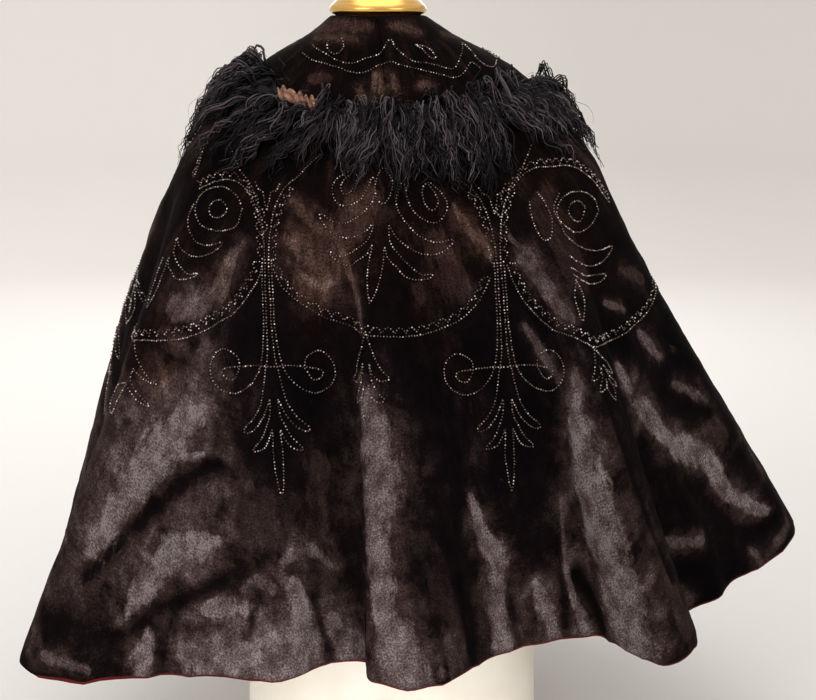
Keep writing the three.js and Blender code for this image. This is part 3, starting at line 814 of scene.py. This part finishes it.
def wool_sections():
    """Sections down the threads: over the collar's edge, out and down to a ragged tip, and back."""
    angle = np.linspace(FUR_FRONT, -FUR_FRONT, FUR_COLUMNS)
    edge = collar_width(angle)
    position = np.linspace(0, FUR_EDGE, FUR_COLUMNS)
    ragged = 0.5 * soft_noise(position, 0 * position, 9, 41)
    ragged = ragged + 0.5 * soft_noise(position, 0 * position, 4, 42)
    thick = 0.5 * (FUR_BACK + (FUR_SIDE - FUR_BACK) * over_arms(angle)) * (1 + 0.3 * ragged)
    thick = thick * (1 - 0.5 * past_arms(angle))
    length = FUR_LENGTH * (0.48 + 0.14 * ragged) * np.interp(angle, LENGTH_AT, LENGTH_SHARE)
    over = COLLAR_GAP + COLLAR_WALL + 0.8
    section = np.stack(np.broadcast_arrays(-7.0, -5.0, 4.0, length * 0.28, length * 0.55, length * 0.8,
                                           length, length * 0.6, 1.5, 1.5))
    lift = np.stack(np.broadcast_arrays(over, over + 3, thick * 0.72, thick, thick * 0.85, thick * 0.5,
                                        4.0, 2.5, 2.5, over - 0.2))
    bare = np.exp(-((around_at(thread_at(angle), edge) - BARE_AROUND) / BARE_HALF) ** 4)
    section[:3] += bare * np.array([12, 12, 9])[:, None]
    lift[:4] -= bare * np.array([0, 2.5, 9, 6])[:, None]
    down = edge + section
    around = around_at(np.broadcast_to(thread_at(angle), down.shape), down)
    return lay(around, down, lift).transpose(1, 0, 2)


wool_points = wool_sections()
# The mass takes the darkest colour of the wool: painted shade under the curls.
wool_mass = add_piece("wool_mass", "fur", WOOL, wool_points, shade=np.zeros(wool_points.shape[:2]),
                      **closed_round(*wool_points.shape[:2]))
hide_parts("fur_trim")


# The curls hang from rows of roots in the skin: tufts of wavy strings of wool, long and loose,
# that part at their tips and flare outward over the arms.
TUFT_ROWS = (-9, -2, 4, 10, 17)         # roots above and below the collar's edge
TUFTS_IN_ROW = 112
BARE_ROWS_TO, BARE_LOWER = 2, 18        # rows worn away at the bare stretch, and how far the rest is lower
STRANDS = 8
HAIR_POINTS = 15
HAIR_ROOT, HAIR_TIP = 1.0, 0.34         # half thickness
SWEEP, CRIMP = (44, 70), (22, 36)       # length of a tuft's wave, and of a strand's own
LEAN_LEFT, LEAN_RIGHT = 0.62, 0.34      # outward over the arms, for each millimetre of hair
FLY_SHARE = 0.2         # of the tufts stand up before they fall
STRAYS = 420
STRAY_ROOT, STRAY_TIP = 0.5, 0.14
FULL_CIRCLE = 6.28


def hair_tubes(paths, thickness, shade):
    """Three-sided tapered tubes along many paths at once, with closed ends."""
    many, count = paths.shape[:2]
    forward = np.gradient(paths, axis=1)
    forward /= np.linalg.norm(forward, axis=2, keepdims=True) + 1e-9
    side = np.cross(forward, np.array([0.31, 0.27, 0.91]))
    side /= np.linalg.norm(side, axis=2, keepdims=True) + 1e-9
    up = np.cross(forward, side)
    turn = np.arange(3) * 2 * np.pi / 3
    ring = (side[:, :, None] * np.cos(turn)[None, None, :, None]
            + up[:, :, None] * np.sin(turn)[None, None, :, None])
    points = paths[:, :, None] + ring * thickness[:, :, None, None]
    step = (np.arange(many) * count * 3)[:, None, None]
    quads = grid_faces(count, 3, True)[:, ::-1]
    ends = np.array([[2, 1, 0], [count * 3 - 3, count * 3 - 2, count * 3 - 1]])
    shades = np.broadcast_to(shade[:, :, None], (many, count, 3))
    return (points.reshape(-1, 3), (quads[None] + step).reshape(-1, 4), (ends[None] + step).reshape(-1, 3),
            shades.ravel())


def tuft_hairs(angle, root, seed):
    """Hairs of many tufts. A tuft falls in a loose curve, its strands winding apart towards their tips.

    Each place is worked out on the flat cloth: around it, down it and out from it.
    """
    draw = np.random.default_rng(seed)
    tufts = len(angle)
    t = np.linspace(0, 1, HAIR_POINTS)
    tuft = lambda low, high: draw.uniform(low, high, (tufts, 1, 1))
    strand = lambda low, high: draw.uniform(low, high, (tufts, STRANDS, 1))
    loose = lambda: np.clip(draw.normal(0, 1, (tufts, STRANDS, 1)), -2, 2)
    angle, root = angle[:, None, None], root[:, None, None]
    thread = thread_at(angle)
    start = around_at(thread, collar_width(angle))
    arms = over_arms(angle)
    upright = lay(start, collar_width(angle), 20)[..., 2] - lay(start, collar_width(angle), 0)[..., 2]
    length = FUR_LENGTH * tuft(0.45, 1.25) * strand(0.75, 1.08) * np.interp(angle, LENGTH_AT, LENGTH_SHARE)
    lean = np.where(start > 0, LEAN_LEFT, -LEAN_RIGHT) * arms + tuft(-0.3, 0.3)
    lean = lean + 0.3 * soft_noise(start, 0 * start, 38, seed + 1) + strand(-0.07, 0.07)
    run = 2 * np.pi * length * t
    sweep = run / tuft(*SWEEP) + tuft(0, FULL_CIRCLE) + strand(-0.7, 0.7)
    crimp = run / (tuft(*CRIMP) * strand(0.9, 1.1)) + tuft(0, FULL_CIRCLE) + strand(-0.8, 0.8)
    wide = tuft(2, 8) * t ** 0.8
    fine = tuft(1.4, 4.6) * strand(0.7, 1.3) * (0.3 + 1.1 * t) * (1 - 0.4 * t)
    spread = tuft(2.0, 3.4) * (1 - 0.7 * t) + tuft(-0.3, 2.6) * t ** 2
    across = lean * length * t + wide * np.sin(sweep) + fine * np.sin(crimp) + loose() * spread
    stand = (FUR_BACK + (FUR_SIDE - FUR_BACK) * arms) * tuft(0.3, 1.2) * strand(0.8, 1.2)
    stand = stand * (1 - 0.035 * upright) * (1 - 0.7 * past_arms(angle))
    stand = stand * (1 - 0.4 * np.exp(-((angle + 58) / 24) ** 2) + 0.35 * np.exp(-((angle + 92) / 18) ** 2))
    stand = stand * (1 + 0.28 * np.exp(-((angle - 80) / 22) ** 2))
    out = 5 + stand * np.sin(np.pi * t ** 0.62) ** 0.8 * (1 - 0.3 * t) + fine * np.cos(crimp)
    out = out + 0.5 * wide * np.cos(sweep) + loose() * 0.7 * spread
    fly = tuft(0, 1) < FLY_SHARE * (np.abs(angle) < 100)
    rise = np.where(fly, tuft(8, 30) * strand(0.7, 1.2), 0) * np.sin(np.pi * np.clip(t * 1.4, 0, 1))
    down = collar_width(angle) + root + strand(-3, 3) + length * t * np.where(fly, 0.65, 0.97) - rise
    out = np.maximum(out, 3.5) + np.where(fly, tuft(2, 12), 0) * np.sin(np.pi * t ** 0.7)
    full = (tufts, STRANDS, HAIR_POINTS)
    paths = lay(np.broadcast_to(around_at(thread + 0 * down, down) + across, full),
                np.broadcast_to(down, full), out).reshape(-1, HAIR_POINTS, 3)
    thick = (HAIR_ROOT + (HAIR_TIP - HAIR_ROOT) * t ** 1.6) * strand(0.75, 1.25)
    # Tone that differs at random by tuft and strand, with a painted highlight that lightens each strand towards
    # the middle of its length.
    shade = np.clip(tuft(-0.2, 0.45) + strand(-0.3, 0.55) + 0.35 * np.sin(np.pi * t), 0, 1)
    whole = lambda values: np.broadcast_to(values, full).reshape(-1, HAIR_POINTS)
    return paths, whole(thick), whole(shade)


def stray_hairs(angle, seed):
    """Single long hairs that stand off the mass and curl over at their ends."""
    draw = np.random.default_rng(seed)
    many = len(angle)
    t = np.linspace(0, 1, HAIR_POINTS)[None]
    one = lambda low, high: draw.uniform(low, high, (many, 1))
    angle = angle[:, None]
    length, rise = one(45, 115), one(-0.3, 1.0)
    lift = one(8, 28) * (1 - 0.6 * past_arms(angle))
    start = around_at(thread_at(angle), collar_width(angle))
    across = (np.sign(start) * 22 * over_arms(angle) + one(-30, 30)) * t ** 1.3
    across = across + one(2, 6) * np.sin(2 * np.pi * t * one(1.4, 3.4) + one(0, FULL_CIRCLE)) * t
    down = collar_width(angle) + one(-6, 12) + length * rise * t
    out = 6 + lift * np.sin(np.pi * 0.74 * t) + one(0, 6) * np.sin(2 * np.pi * t * one(1, 3)) * t
    around = around_at(thread_at(angle) + 0 * down, down) + across
    thick = (STRAY_ROOT + (STRAY_TIP - STRAY_ROOT) * t) * one(0.8, 1.3)
    return lay(around, down, np.maximum(out, 4)), thick + 0 * down, 0.3 + 0.4 * t + 0 * down


QUARTERS = {"back_left": (0, 90), "front_left": (90, 180),
            "back_right": (-90, 0), "front_right": (-180, -90)}
draw = np.random.default_rng(7)
angles, roots = [], []
for row in TUFT_ROWS:
    spots = np.linspace(-1, 1, TUFTS_IN_ROW) * FUR_FRONT + draw.uniform(-2.6, 2.6, TUFTS_IN_ROW)
    spots = np.clip(spots, -FUR_FRONT, FUR_FRONT)
    bare = np.abs(around_at(thread_at(spots), collar_width(spots)) - BARE_AROUND) < BARE_HALF
    keep = ~bare | (row > BARE_ROWS_TO)
    angles.append(spots[keep])
    roots.append((row + BARE_LOWER * bare + draw.uniform(-3, 3, len(spots)))[keep])
angles, roots = np.concatenate(angles), np.concatenate(roots)
for number, (name, (low, high)) in enumerate(QUARTERS.items()):
    mine = (angles >= low) & (angles < high)
    strays = draw.uniform(max(low, -FUR_FRONT), min(high, FUR_FRONT), STRAYS // 4)
    tufts = tuft_hairs(angles[mine], roots[mine], 100 + 10 * number)
    both = [np.concatenate(pair) for pair in zip(tufts, stray_hairs(strays, 200 + number))]
    points, faces, caps, shades = hair_tubes(*both)
    add_piece(f"curls_{name}", "fur", WOOL, points, faces, caps=caps.tolist(), shade=shades)


# Where the wool has worn away left of the centre back, the narrow twisted edge of the skin
# shows, bare and pinkish brown.
CORD_FROM, CORD_TO = 79, 134
CORD_DOWN = 132
CORD_OVER = 10          # over the collar
CORD_TWIST = 19         # length of one full turn
CORD_APART, STRAND_HALF = 3.0, 4.8
CORD_POINTS, STRAND_SIDES = 80, 14


def bare_skin():
    """Old pale leather, pinkish brown, darker in its creases."""
    made, tree, shader = new_material("bare_skin", Roughness=0.7, Specular_IOR_Level=0.2)
    place = add_node(tree, "ShaderNodeTexCoord").outputs["Object"]
    leather_mottle = add_node(tree, "ShaderNodeTexNoise", {"Vector": place, "Scale": 160.0, "Detail": 4.0})
    leather_mottle = leather_mottle.outputs["Fac"]
    # One noise both darkens the colour and lowers the bump, so the leather is darker where its surface is low.
    colour = colour_between(tree, leather_mottle, (0.3, (0.080, 0.036, 0.023)), (0.72, (0.30, 0.150, 0.098)))
    tree.links.new(colour, shader.inputs["Base Color"])
    bumped(tree, shader, leather_mottle, 0.6)
    return made


def cord_strand(start):
    """One of the cord's two flattened strands, winding along the collar's edge."""
    along = np.linspace(CORD_FROM, CORD_TO, CORD_POINTS)[:, None]
    turn = full_turn(STRAND_SIDES)
    wound = 2 * np.pi * along / CORD_TWIST + start + 0.9 * np.sin(along / 7.3)
    ends = np.clip(np.minimum(along - CORD_FROM, CORD_TO - along) / 5, 0.05, 1) ** 0.5
    down = CORD_DOWN + 0.08 * (along - CORD_FROM) + 1.5 * np.sin(along / 11)
    half = STRAND_HALF * (1 + 0.2 * np.sin(along / 3.1 + 2 * start)) * ends
    down = down + CORD_APART * 1.4 * np.cos(wound) + 1.15 * half * np.cos(turn)
    lift = 0.8 * CORD_APART * np.sin(wound) + 0.62 * half * np.sin(turn)
    return lay(along + 0 * turn, down, COLLAR_GAP + COLLAR_WALL + CORD_OVER + lift)


SKIN = bare_skin()
for name, start in (("skin_cord_one", 0), ("skin_cord_two", np.pi)):
    strand = cord_strand(start)
    add_piece(name, None, SKIN, strand, **closed_round(*strand.shape[:2]))


# The beading is sewn on in single lines of small jet and steel-grey beads: a plume under each
# shoulder blade, a spray of scrolls between them, swags that join the plumes, and a drop below
# each swag. The swags and the stems are edged with small loops.
BEAD = 1.12             # half a bead's width
BEAD_STEP = 3.75
BEAD_UNEVEN = 0.2
LOOP = 14.5             # width of a loop of the looped edges
LOOP_NEAR, LOOP_FAR = 4, 10.5           # from the line that they edge
STEM_LOOPS, FOLD_LOOPS = (3, 9), (2, 5)

# Half motifs as lines of places: outward from the motif's own axis, and down.
SCROLL = ((6, -126), (7, -84), (7, -58), (9, -32), (11, -18), (14, -4), (21, 10), (36, 24), (53, 30),
          (70, 26), (80, 16), (81, 1), (72, -14), (59, -19), (45, -12), (42, -2), (45, 6), (51, 14),
          (60, 14), (66, 8), (62, 3), (48, 0), (22, -3), (0, -2))
FOOT = ((2, -126), (3, -90), (3, -63), (3.5, -36), (5, -12), (9, 6), (13, 26), (18, 42), (28, 57),
        (41, 69), (39, 74), (27, 69), (15, 55), (8, 41), (5.5, 36), (6.5, 53), (13, 68), (20, 81),
        (31, 92), (29, 95), (17, 91), (9.5, 80), (5, 71), (6, 96), (5, 116), (3, 136), (0, 145))
BRANCH = ((3, -126), (3, -142), (5, -160), (8, -178), (12, -190), (19, -205), (28, -217), (40, -226),
          (50, -238), (68, -258))
TULIP = ((17, -216), (12, -208), (6, -206), (3, -194), (0, -184))
SPRAY = ((50, -81), (58, -73), (64, -62), (60, -53), (52, -55), (45, -66), (43, -77), (50, -84),
         (61, -77), (71, -68), (76, -57), (72, -44), (62, -38), (47, -42), (34, -51), (26, -66),
         (20, -82), (15, -72), (15, -55), (23, -41), (37, -28), (52, -19), (70, -16), (88, -20),
         (87, -14), (77, -5), (63, -1), (47, -2), (32, -8), (18, -17), (10, -27), (14, -8), (25, 4),
         (40, 15), (56, 23), (69, 21), (66, 26), (52, 30), (37, 29), (25, 20), (14, 12), (8, 0),
         (9, 19), (8, 38), (5, 55), (0, 68))
MIDDLE_LOOP = ((-6, -80), (-2, -92), (8, -96), (12, -84), (12, -70), (8, -58), (0, -52), (-6, -60),
               (-8, -72), (-6, -82), (4, -94))
DROP = ((0, -2), (5, 14), (11, 30), (19, 44), (28, 55), (17, 57), (8, 49), (4, 36), (6, 52), (10, 64),
        (17, 74), (22, 80), (14, 82), (6, 74), (3, 62), (6, 78), (5, 94), (0, 104))


# Lines of the two sprays at the sides, which the folds turn away or draw in, as places on the cloth.
SIDE_LINES = (
    ((207, 292), (210, 299), (216, 304), (224, 308), (233, 308), (235, 300), (232, 295), (225, 289),
     (215, 285), (208, 289)),
    ((184, 284), (192, 304), (208, 316), (230, 324), (251, 324), (260, 311), (253, 292), (233, 277),
     (210, 268), (191, 272), (184, 282)),
    ((-275, 330), (-271, 336), (-265, 340), (-256, 337), (-247, 329), (-244, 321), (-248, 316),
     (-257, 315), (-266, 319), (-275, 328)),
    ((-306, 344), (-292, 351), (-270, 353), (-246, 345), (-226, 328), (-221, 314), (-232, 304),
     (-252, 303), (-276, 312), (-299, 328), (-306, 342)),
    ((-180, 288), (-181, 304), (-185, 320), (-194, 336), (-204, 340), (-210, 332), (-210, 316),
     (-202, 296), (-192, 280)),
    ((-229, 296), (-216, 308), (-224, 328), (-234, 348), (-262, 368), (-294, 384), (-330, 392),
     (-330, 396), (-306, 400), (-281, 396), (-248, 380), (-233, 368)),
    ((-237, 384), (-261, 400), (-286, 408), (-310, 416), (-302, 420), (-281, 416), (-255, 404),
     (-239, 392)),
    ((-243, 400), (-238, 416), (-243, 434), (-250, 448), (-256, 432), (-252, 416), (-243, 400)))
# Swags at the back, then one at each side alike: the side of the line its loops are on, then places.
BACK_SWAGS = (
    (-1, (151, 340), (141, 360), (127, 372), (112, 380), (93, 388), (69, 393), (35, 406)),
    (1, (-123, 356), (-110, 376), (-96, 388), (-82, 396), (-67, 400), (-45, 405), (-10, 409), (35, 407)),
    (1, (163, 340), (170, 358), (183, 376), (198, 395), (213, 411), (231, 424), (253, 441), (277, 456),
     (300, 468), (335, 482), (371, 494)),
    (-1, (485, 434), (460, 458), (430, 480), (400, 491), (371, 495)),
    (-1, (-146, 348), (-154, 372), (-166, 396), (-185, 420), (-208, 444), (-235, 462), (-266, 484)),
    (1, (-440, 470), (-420, 484), (-390, 493), (-336, 493), (-300, 488), (-266, 484)))
SIDE_SWAGS = (
    (1, (560, 350), (590, 420), (640, 470), (710, 500), (790, 508)),
    (-1, (950, 400), (920, 450), (870, 490), (790, 508)))
LEFT_PENDANT = (
    ((370, 495), (366, 505), (359, 513), (350, 520), (341, 524), (332, 526), (343, 528), (357, 527),
     (368, 524)),
    ((368, 524), (373, 535), (367, 544), (355, 549), (345, 553), (359, 555), (372, 551), (383, 544)),
    ((383, 544), (390, 556), (400, 570), (411, 585), (421, 577), (417, 562), (403, 552), (385, 544)))
LEFT_ARCH = ((158, 318), (160, 296), (163, 280), (171, 266), (186, 256), (203, 257), (221, 264),
             (241, 276), (258, 286))
LEFT_FOLD = ((262, 236), (263, 250), (266, 264), (272, 278))
RIGHT_ARCH = ((-140, 318), (-142, 296), (-148, 276), (-160, 262), (-178, 254), (-198, 254), (-220, 262),
              (-246, 270), (-268, 282), (-295, 302), (-320, 324), (-345, 346))
COLLAR_LINES = (
    ((92, 56), (82, 60), (67, 64), (54, 68), (37, 68), (20, 60), (7, 56), (-4, 45), (-9, 36), (-14, 36),
     (-17, 46), (-25, 56), (-36, 68), (-53, 76), (-69, 84), (-89, 95), (-101, 86), (-112, 74),
     (-119, 66), (-125, 80), (-132, 98), (-145, 112), (-159, 118), (-176, 112)),
    ((107, 72), (91, 76), (71, 76), (54, 77), (39, 80), (24, 79), (9, 71), (-9, 65), (-21, 71),
     (-35, 77), (-56, 88), (-75, 98), (-89, 106), (-103, 106), (-117, 98), (-124, 102), (-131, 110)),
    ((66, 40), (69, 54), (61, 60), (52, 56), (46, 46), (48, 36)),
    ((-42, 48), (-50, 56), (-59, 70), (-66, 73), (-61, 60), (-50, 51), (-42, 48)),
    ((-181, 88), (-176, 100), (-186, 112), (-204, 108), (-196, 96), (-181, 88)))
COLLAR_SCALLOP = ((0, 60), (14, 84), (36, 96), (58, 84), (72, 60))
SCALLOP_STARTS, SCALLOPS_APART = (190, 262, 334, 406), 16


def curve_through(places):
    """A smooth line through places on the flat cloth (Catmull-Rom)."""
    return smooth_rows(np.array(places, float), 16 * len(places))


def placed(shape, side, around, down, lean, tilt, wide=1.0):
    """A half motif on one side of its axis, which leans as it falls; its level lines tilt."""
    out, fall = curve_through(shape).T
    return np.stack([around + lean * fall + side * wide * out, down + fall + tilt * side * wide * out], 1)


def run_along(line):
    """Distance along a line from its start."""
    return np.concatenate([[0], np.cumsum(np.hypot(*np.diff(line, axis=0).T))])


def looped(line, side, near=LOOP_NEAR, far=LOOP_FAR, start=0.0, end=1.0):
    """A row of small loops beside a line, on the side given, along part of its length."""
    run = run_along(line)
    spots = np.arange(start * run[-1], end * run[-1], 0.7)
    x, y = np.interp(spots, run, line[:, 0]), np.interp(spots, run, line[:, 1])
    dx, dy = np.gradient(x), np.gradient(y)
    long = np.hypot(dx, dy)
    phase = (spots - spots[0]) / LOOP
    off = -side * (near + (far - near) * (0.5 - 0.5 * np.cos(2 * np.pi * phase)) ** 0.8)
    slide = 0.06 * LOOP * np.sin(2 * np.pi * phase)
    return np.stack([x - dy / long * off - dx / long * slide, y + dx / long * off - dy / long * slide], 1)


def plume(around, down, lean, tilt):
    """Four lines of stem with a scroll on each side, three pairs of leaves below, branches above."""
    lines = []
    for side in (1, -1):
        lines += [placed(shape, side, around, down, lean, tilt) for shape in (SCROLL, FOOT, TULIP)]
        branch = placed(BRANCH, side, around, down, lean, tilt)
        lines += [branch, looped(branch, -side, *STEM_LOOPS, 0.0, 0.62)]
    return lines


def spray(around, down, lean, tilt, wide_left=1.0, wide_right=1.0):
    """Scrolls and pairs of pointed leaves about an upright leaf, in one line on each side."""
    return [placed(SPRAY, 1, around, down, lean, tilt, wide_left),
            placed(SPRAY, -1, around, down, lean, tilt, wide_right),
            placed(MIDDLE_LOOP, 1, around, down, lean, 0)]


def side_sprays():
    """The two sprays that turn round the sides: half of one, and one drawn in by the fold."""
    half = [placed(SPRAY[17:], -1, 315, 384, 0.5, 0.35), placed(SPRAY[-5:], 1, 315, 384, 0.5, 0.35)]
    return half + [curve_through(places) for places in SIDE_LINES]


def drop(around, down, lean, tilt, wide=1.0, long=1.0):
    """The leaves that hang from the point where two halves of a swag meet."""
    leaves = [(out, fall * long) for out, fall in DROP]
    return [placed(leaves, side, around, down, lean, tilt, wide) for side in (1, -1)]


def edged(places, side):
    """A plain line through places with a row of loops beside it."""
    line = curve_through(places)
    return [line, looped(line, side)]


def cape_beading():
    """The whole pattern on the flat cloth, as lines of places around and down."""
    lines = plume(171, 460, 0.115, 0.2) + plume(-139, 468, -0.03, -0.22)
    lines += plume(560, 480, 0.5, 0.2) + plume(-560, 480, -0.5, -0.2)
    lines += spray(14, 300, 0.22, -0.22, 0.8) + side_sprays()
    lines += spray(800, 400, 0.7, 0.2) + spray(-800, 400, -0.7, -0.2)
    lines += [line for side, *places in BACK_SWAGS for line in edged(places, side)]
    for mirror in (1, -1):
        for side, *places in SIDE_SWAGS:
            lines += edged([(mirror * x, y) for x, y in places], mirror * side)
    lines += [curve_through(places) for places in LEFT_PENDANT]
    lines += drop(37, 404, 0.08, 0.0) + drop(-266, 484, -0.5, -0.1, 0.9, 0.66)
    lines += drop(790, 508, 0.6, 0.2) + drop(-790, 508, -0.6, -0.2)
    for places, side, loops, start in ((LEFT_ARCH, 1, STEM_LOOPS, 0.1), (LEFT_FOLD, 1, FOLD_LOOPS, 0.0),
                                       (RIGHT_ARCH, -1, STEM_LOOPS, 0.1)):
        line = curve_through(places)
        lines += [line, looped(line, side, *loops, start)]
    return lines


def collar_beading():
    """The collar's two scalloped lines and small leaves, repeated plainly round to the front."""
    lines = [curve_through(places) for places in COLLAR_LINES]
    for side in (1, -1):
        for start in SCALLOP_STARTS:
            for higher in (0, SCALLOPS_APART):
                lines.append(curve_through([(side * (start + x), y - higher) for x, y in COLLAR_SCALLOP]))
    return lines


def along_line(line):
    """Even places a bead's step apart along a line."""
    run = run_along(line)
    spots = np.arange(0, run[-1], BEAD_STEP)
    return np.stack([np.interp(spots, run, line[:, 0]), np.interp(spots, run, line[:, 1])], 1)


def bead_shape():
    """A round bead: twelve corners as an icosahedron has them, and its twenty faces."""
    g = (1 + 5 ** 0.5) / 2
    pairs = [(a, b) for a in (-1, 1) for b in (-g, g)]
    points = np.array([(a, b, 0) for a, b in pairs] + [(0, a, b) for a, b in pairs]
                      + [(b, 0, a) for a, b in pairs], float)
    points /= np.linalg.norm(points[0])
    near = np.linalg.norm(points[:, None] - points[None], axis=2)
    near = (near > 0.1) & (near < 1.1)
    faces = [(i, j, k) if np.linalg.det(points[[i, j, k]]) > 0 else (i, k, j) for i in range(12)
             for j in range(i + 1, 12) for k in range(j + 1, 12) if near[i, j] and near[j, k] and near[i, k]]
    return points, np.array(faces)


def jet_beads():
    """Small glass beads, from black jet to steel grey with a brown cast, each with its own tone."""
    made, tree, shader = new_material("jet_beads", Roughness=0.3, Metallic=0.9)
    tone = add_node(tree, "ShaderNodeAttribute", attribute_name="tone").outputs["Fac"]
    colour = colour_between(tree, tone, (0.0, (0.045, 0.031, 0.027)), (1.0, (0.90, 0.78, 0.72)),
                            (0.5, (0.225, 0.165, 0.145)))
    tree.links.new(colour, shader.inputs["Base Color"])
    return made


JET = jet_beads()


def sew_beads(name, lines, lift, seed, low, high):
    """One mesh of beads along the lines, a little uneven in place and size."""
    spots = np.concatenate([along_line(line) for line in lines])
    spots = spots[(spots[:, 0] >= low) & (spots[:, 0] < high)]
    draw = np.random.default_rng(seed)
    spots += draw.normal(0, BEAD_UNEVEN, spots.shape)
    heights = lift(spots[:, 0], spots[:, 1]) if callable(lift) else lift
    centres = lay(spots[:, 0], spots[:, 1], heights + BEAD * 0.8)
    shape, faces = bead_shape()
    points = centres[:, None] + shape[None] * BEAD * draw.uniform(0.85, 1.1, (len(spots), 1, 1))
    step = (np.arange(len(spots)) * len(shape))[:, None, None]
    tones = np.broadcast_to(draw.beta(1.3, 1.8, (len(spots), 1)), points.shape[:2])
    add_piece(name, None, JET, points, (faces + step).reshape(-1, 3), tone=tones)


ON_PILE = 0.2
BACK_HALF, ALL_ROUND = 430, 2000        # around from the centre back, where each group ends
pattern = cape_beading()
sew_beads("beads_back", pattern, ON_PILE, 51, -BACK_HALF, BACK_HALF)
sew_beads("beads_left_side", pattern, ON_PILE, 52, BACK_HALF, ALL_ROUND)
sew_beads("beads_right_side", pattern, ON_PILE, 53, -ALL_ROUND, -BACK_HALF)
sew_beads("beads_collar", collar_beading(), collar_lift, 54, -ALL_ROUND, ALL_ROUND)


# A plain pale floor that sweeps up to a pale wall all round, eight metres off, with soft light
# from a large panel on each side of the camera, one overhead, one in front, and a low lamp.
PANELS_OF_LIGHT = [     # name, place, size, power in watts
    ("light_left", (1700, 2400, 1900), 1600, 38),
    ("light_right", (-2200, 2200, 1700), 1600, 26),
    ("light_top", (0, 300, 3000), 2400, 34),
    ("light_front", (0, -2600, 1900), 1800, 24)]


def pale_paper():
    """Warm white paper, with painted shade: greyer close to the cloak and to its right."""
    made, tree, shader = new_material("pale_paper", Roughness=0.9, Specular_IOR_Level=0.1)
    place = add_node(tree, "ShaderNodeTexCoord").outputs["Object"]
    across = add_node(tree, "ShaderNodeSeparateXYZ", {0: place}).outputs[0]
    away = add_node(tree, "ShaderNodeVectorMath", {0: place}, operation="LENGTH").outputs["Value"]
    # Painted shade: the paper greys towards the cloak, and towards the right.
    near = add_node(tree, "ShaderNodeMapRange", {"Value": away, "From Min": 0.5, "From Max": 3.4,
                                                 "To Max": 0.7})
    side = add_node(tree, "ShaderNodeMapRange", {"Value": across, "From Min": -1.6, "From Max": 1.6,
                                                 "To Min": -0.08, "To Max": 0.3})
    tone = add_node(tree, "ShaderNodeMath", {0: near.outputs[0], 1: side.outputs[0]}).outputs[0]
    colour = colour_between(tree, tone, (0.0, (0.55, 0.535, 0.51)), (1.0, (0.90, 0.88, 0.855)))
    tree.links.new(colour, shader.inputs["Base Color"])
    return made


FLOOR_SIDES = 72
FLOOR_HALF, SWEEP_RADIUS, WALL_TOP = 8, 3, 5.5          # metres
bend = np.linspace(0.1, 1.57, 14)
ring_distance = np.concatenate([[0.01], np.linspace(1.5, FLOOR_HALF, 8),
                                FLOOR_HALF + SWEEP_RADIUS * np.sin(bend), [11.0]])[:, None]
ring_height = np.concatenate([np.zeros(9), SWEEP_RADIUS - SWEEP_RADIUS * np.cos(bend), [WALL_TOP]])[:, None]
turn = full_turn(FLOOR_SIDES)
sweep = np.stack([ring_distance * np.sin(turn), ring_distance * np.cos(turn), ring_height + 0 * turn], -1)
floor_mesh = bpy.data.meshes.new("floor")
floor_mesh.from_pydata(sweep.reshape(-1, 3).tolist(), [], grid_faces(*sweep.shape[:2], True).tolist()
                       + [list(range(FLOOR_SIDES - 1, -1, -1))])
floor_mesh.polygons.foreach_set("use_smooth", np.ones(len(floor_mesh.polygons), bool))
floor_mesh.materials.append(pale_paper())
floor = bpy.data.objects.new("floor", floor_mesh)
bpy.context.scene.collection.objects.link(floor)


def hang_light(light, place, target):
    """A light at a place, turned towards its target, both in millimetres."""
    holder = bpy.data.objects.new(light.name, light)
    holder.location = [c * MM for c in place]
    aim = np.array(target) - np.array(place)
    holder.rotation_euler = (math.atan2(math.hypot(aim[0], aim[1]), -aim[2]), 0,
                             math.atan2(aim[0], -aim[1]) + math.pi)
    bpy.context.scene.collection.objects.link(holder)


for name, place, size, power in PANELS_OF_LIGHT:
    light = bpy.data.lights.new(name, "AREA")
    light.shape, light.size, light.energy = "SQUARE", size * MM, power
    hang_light(light, place, (0, 0, 600))

low_lamp = bpy.data.lights.new("low_lamp", "SPOT")
low_lamp.energy, low_lamp.shadow_soft_size = 92, 0.2
low_lamp.spot_size, low_lamp.spot_blend = math.radians(24), 0.6
hang_light(low_lamp, (450, 1700, 100), (-20, 120, 70))

world = bpy.data.worlds.new("studio")
world.use_nodes = True
world.node_tree.nodes["Background"].inputs["Color"].default_value = (0.96, 0.93, 0.895, 1)
world.node_tree.nodes["Background"].inputs["Strength"].default_value = 0.97
bpy.context.scene.world = world
bpy.context.scene.view_settings.view_transform = "Standard"
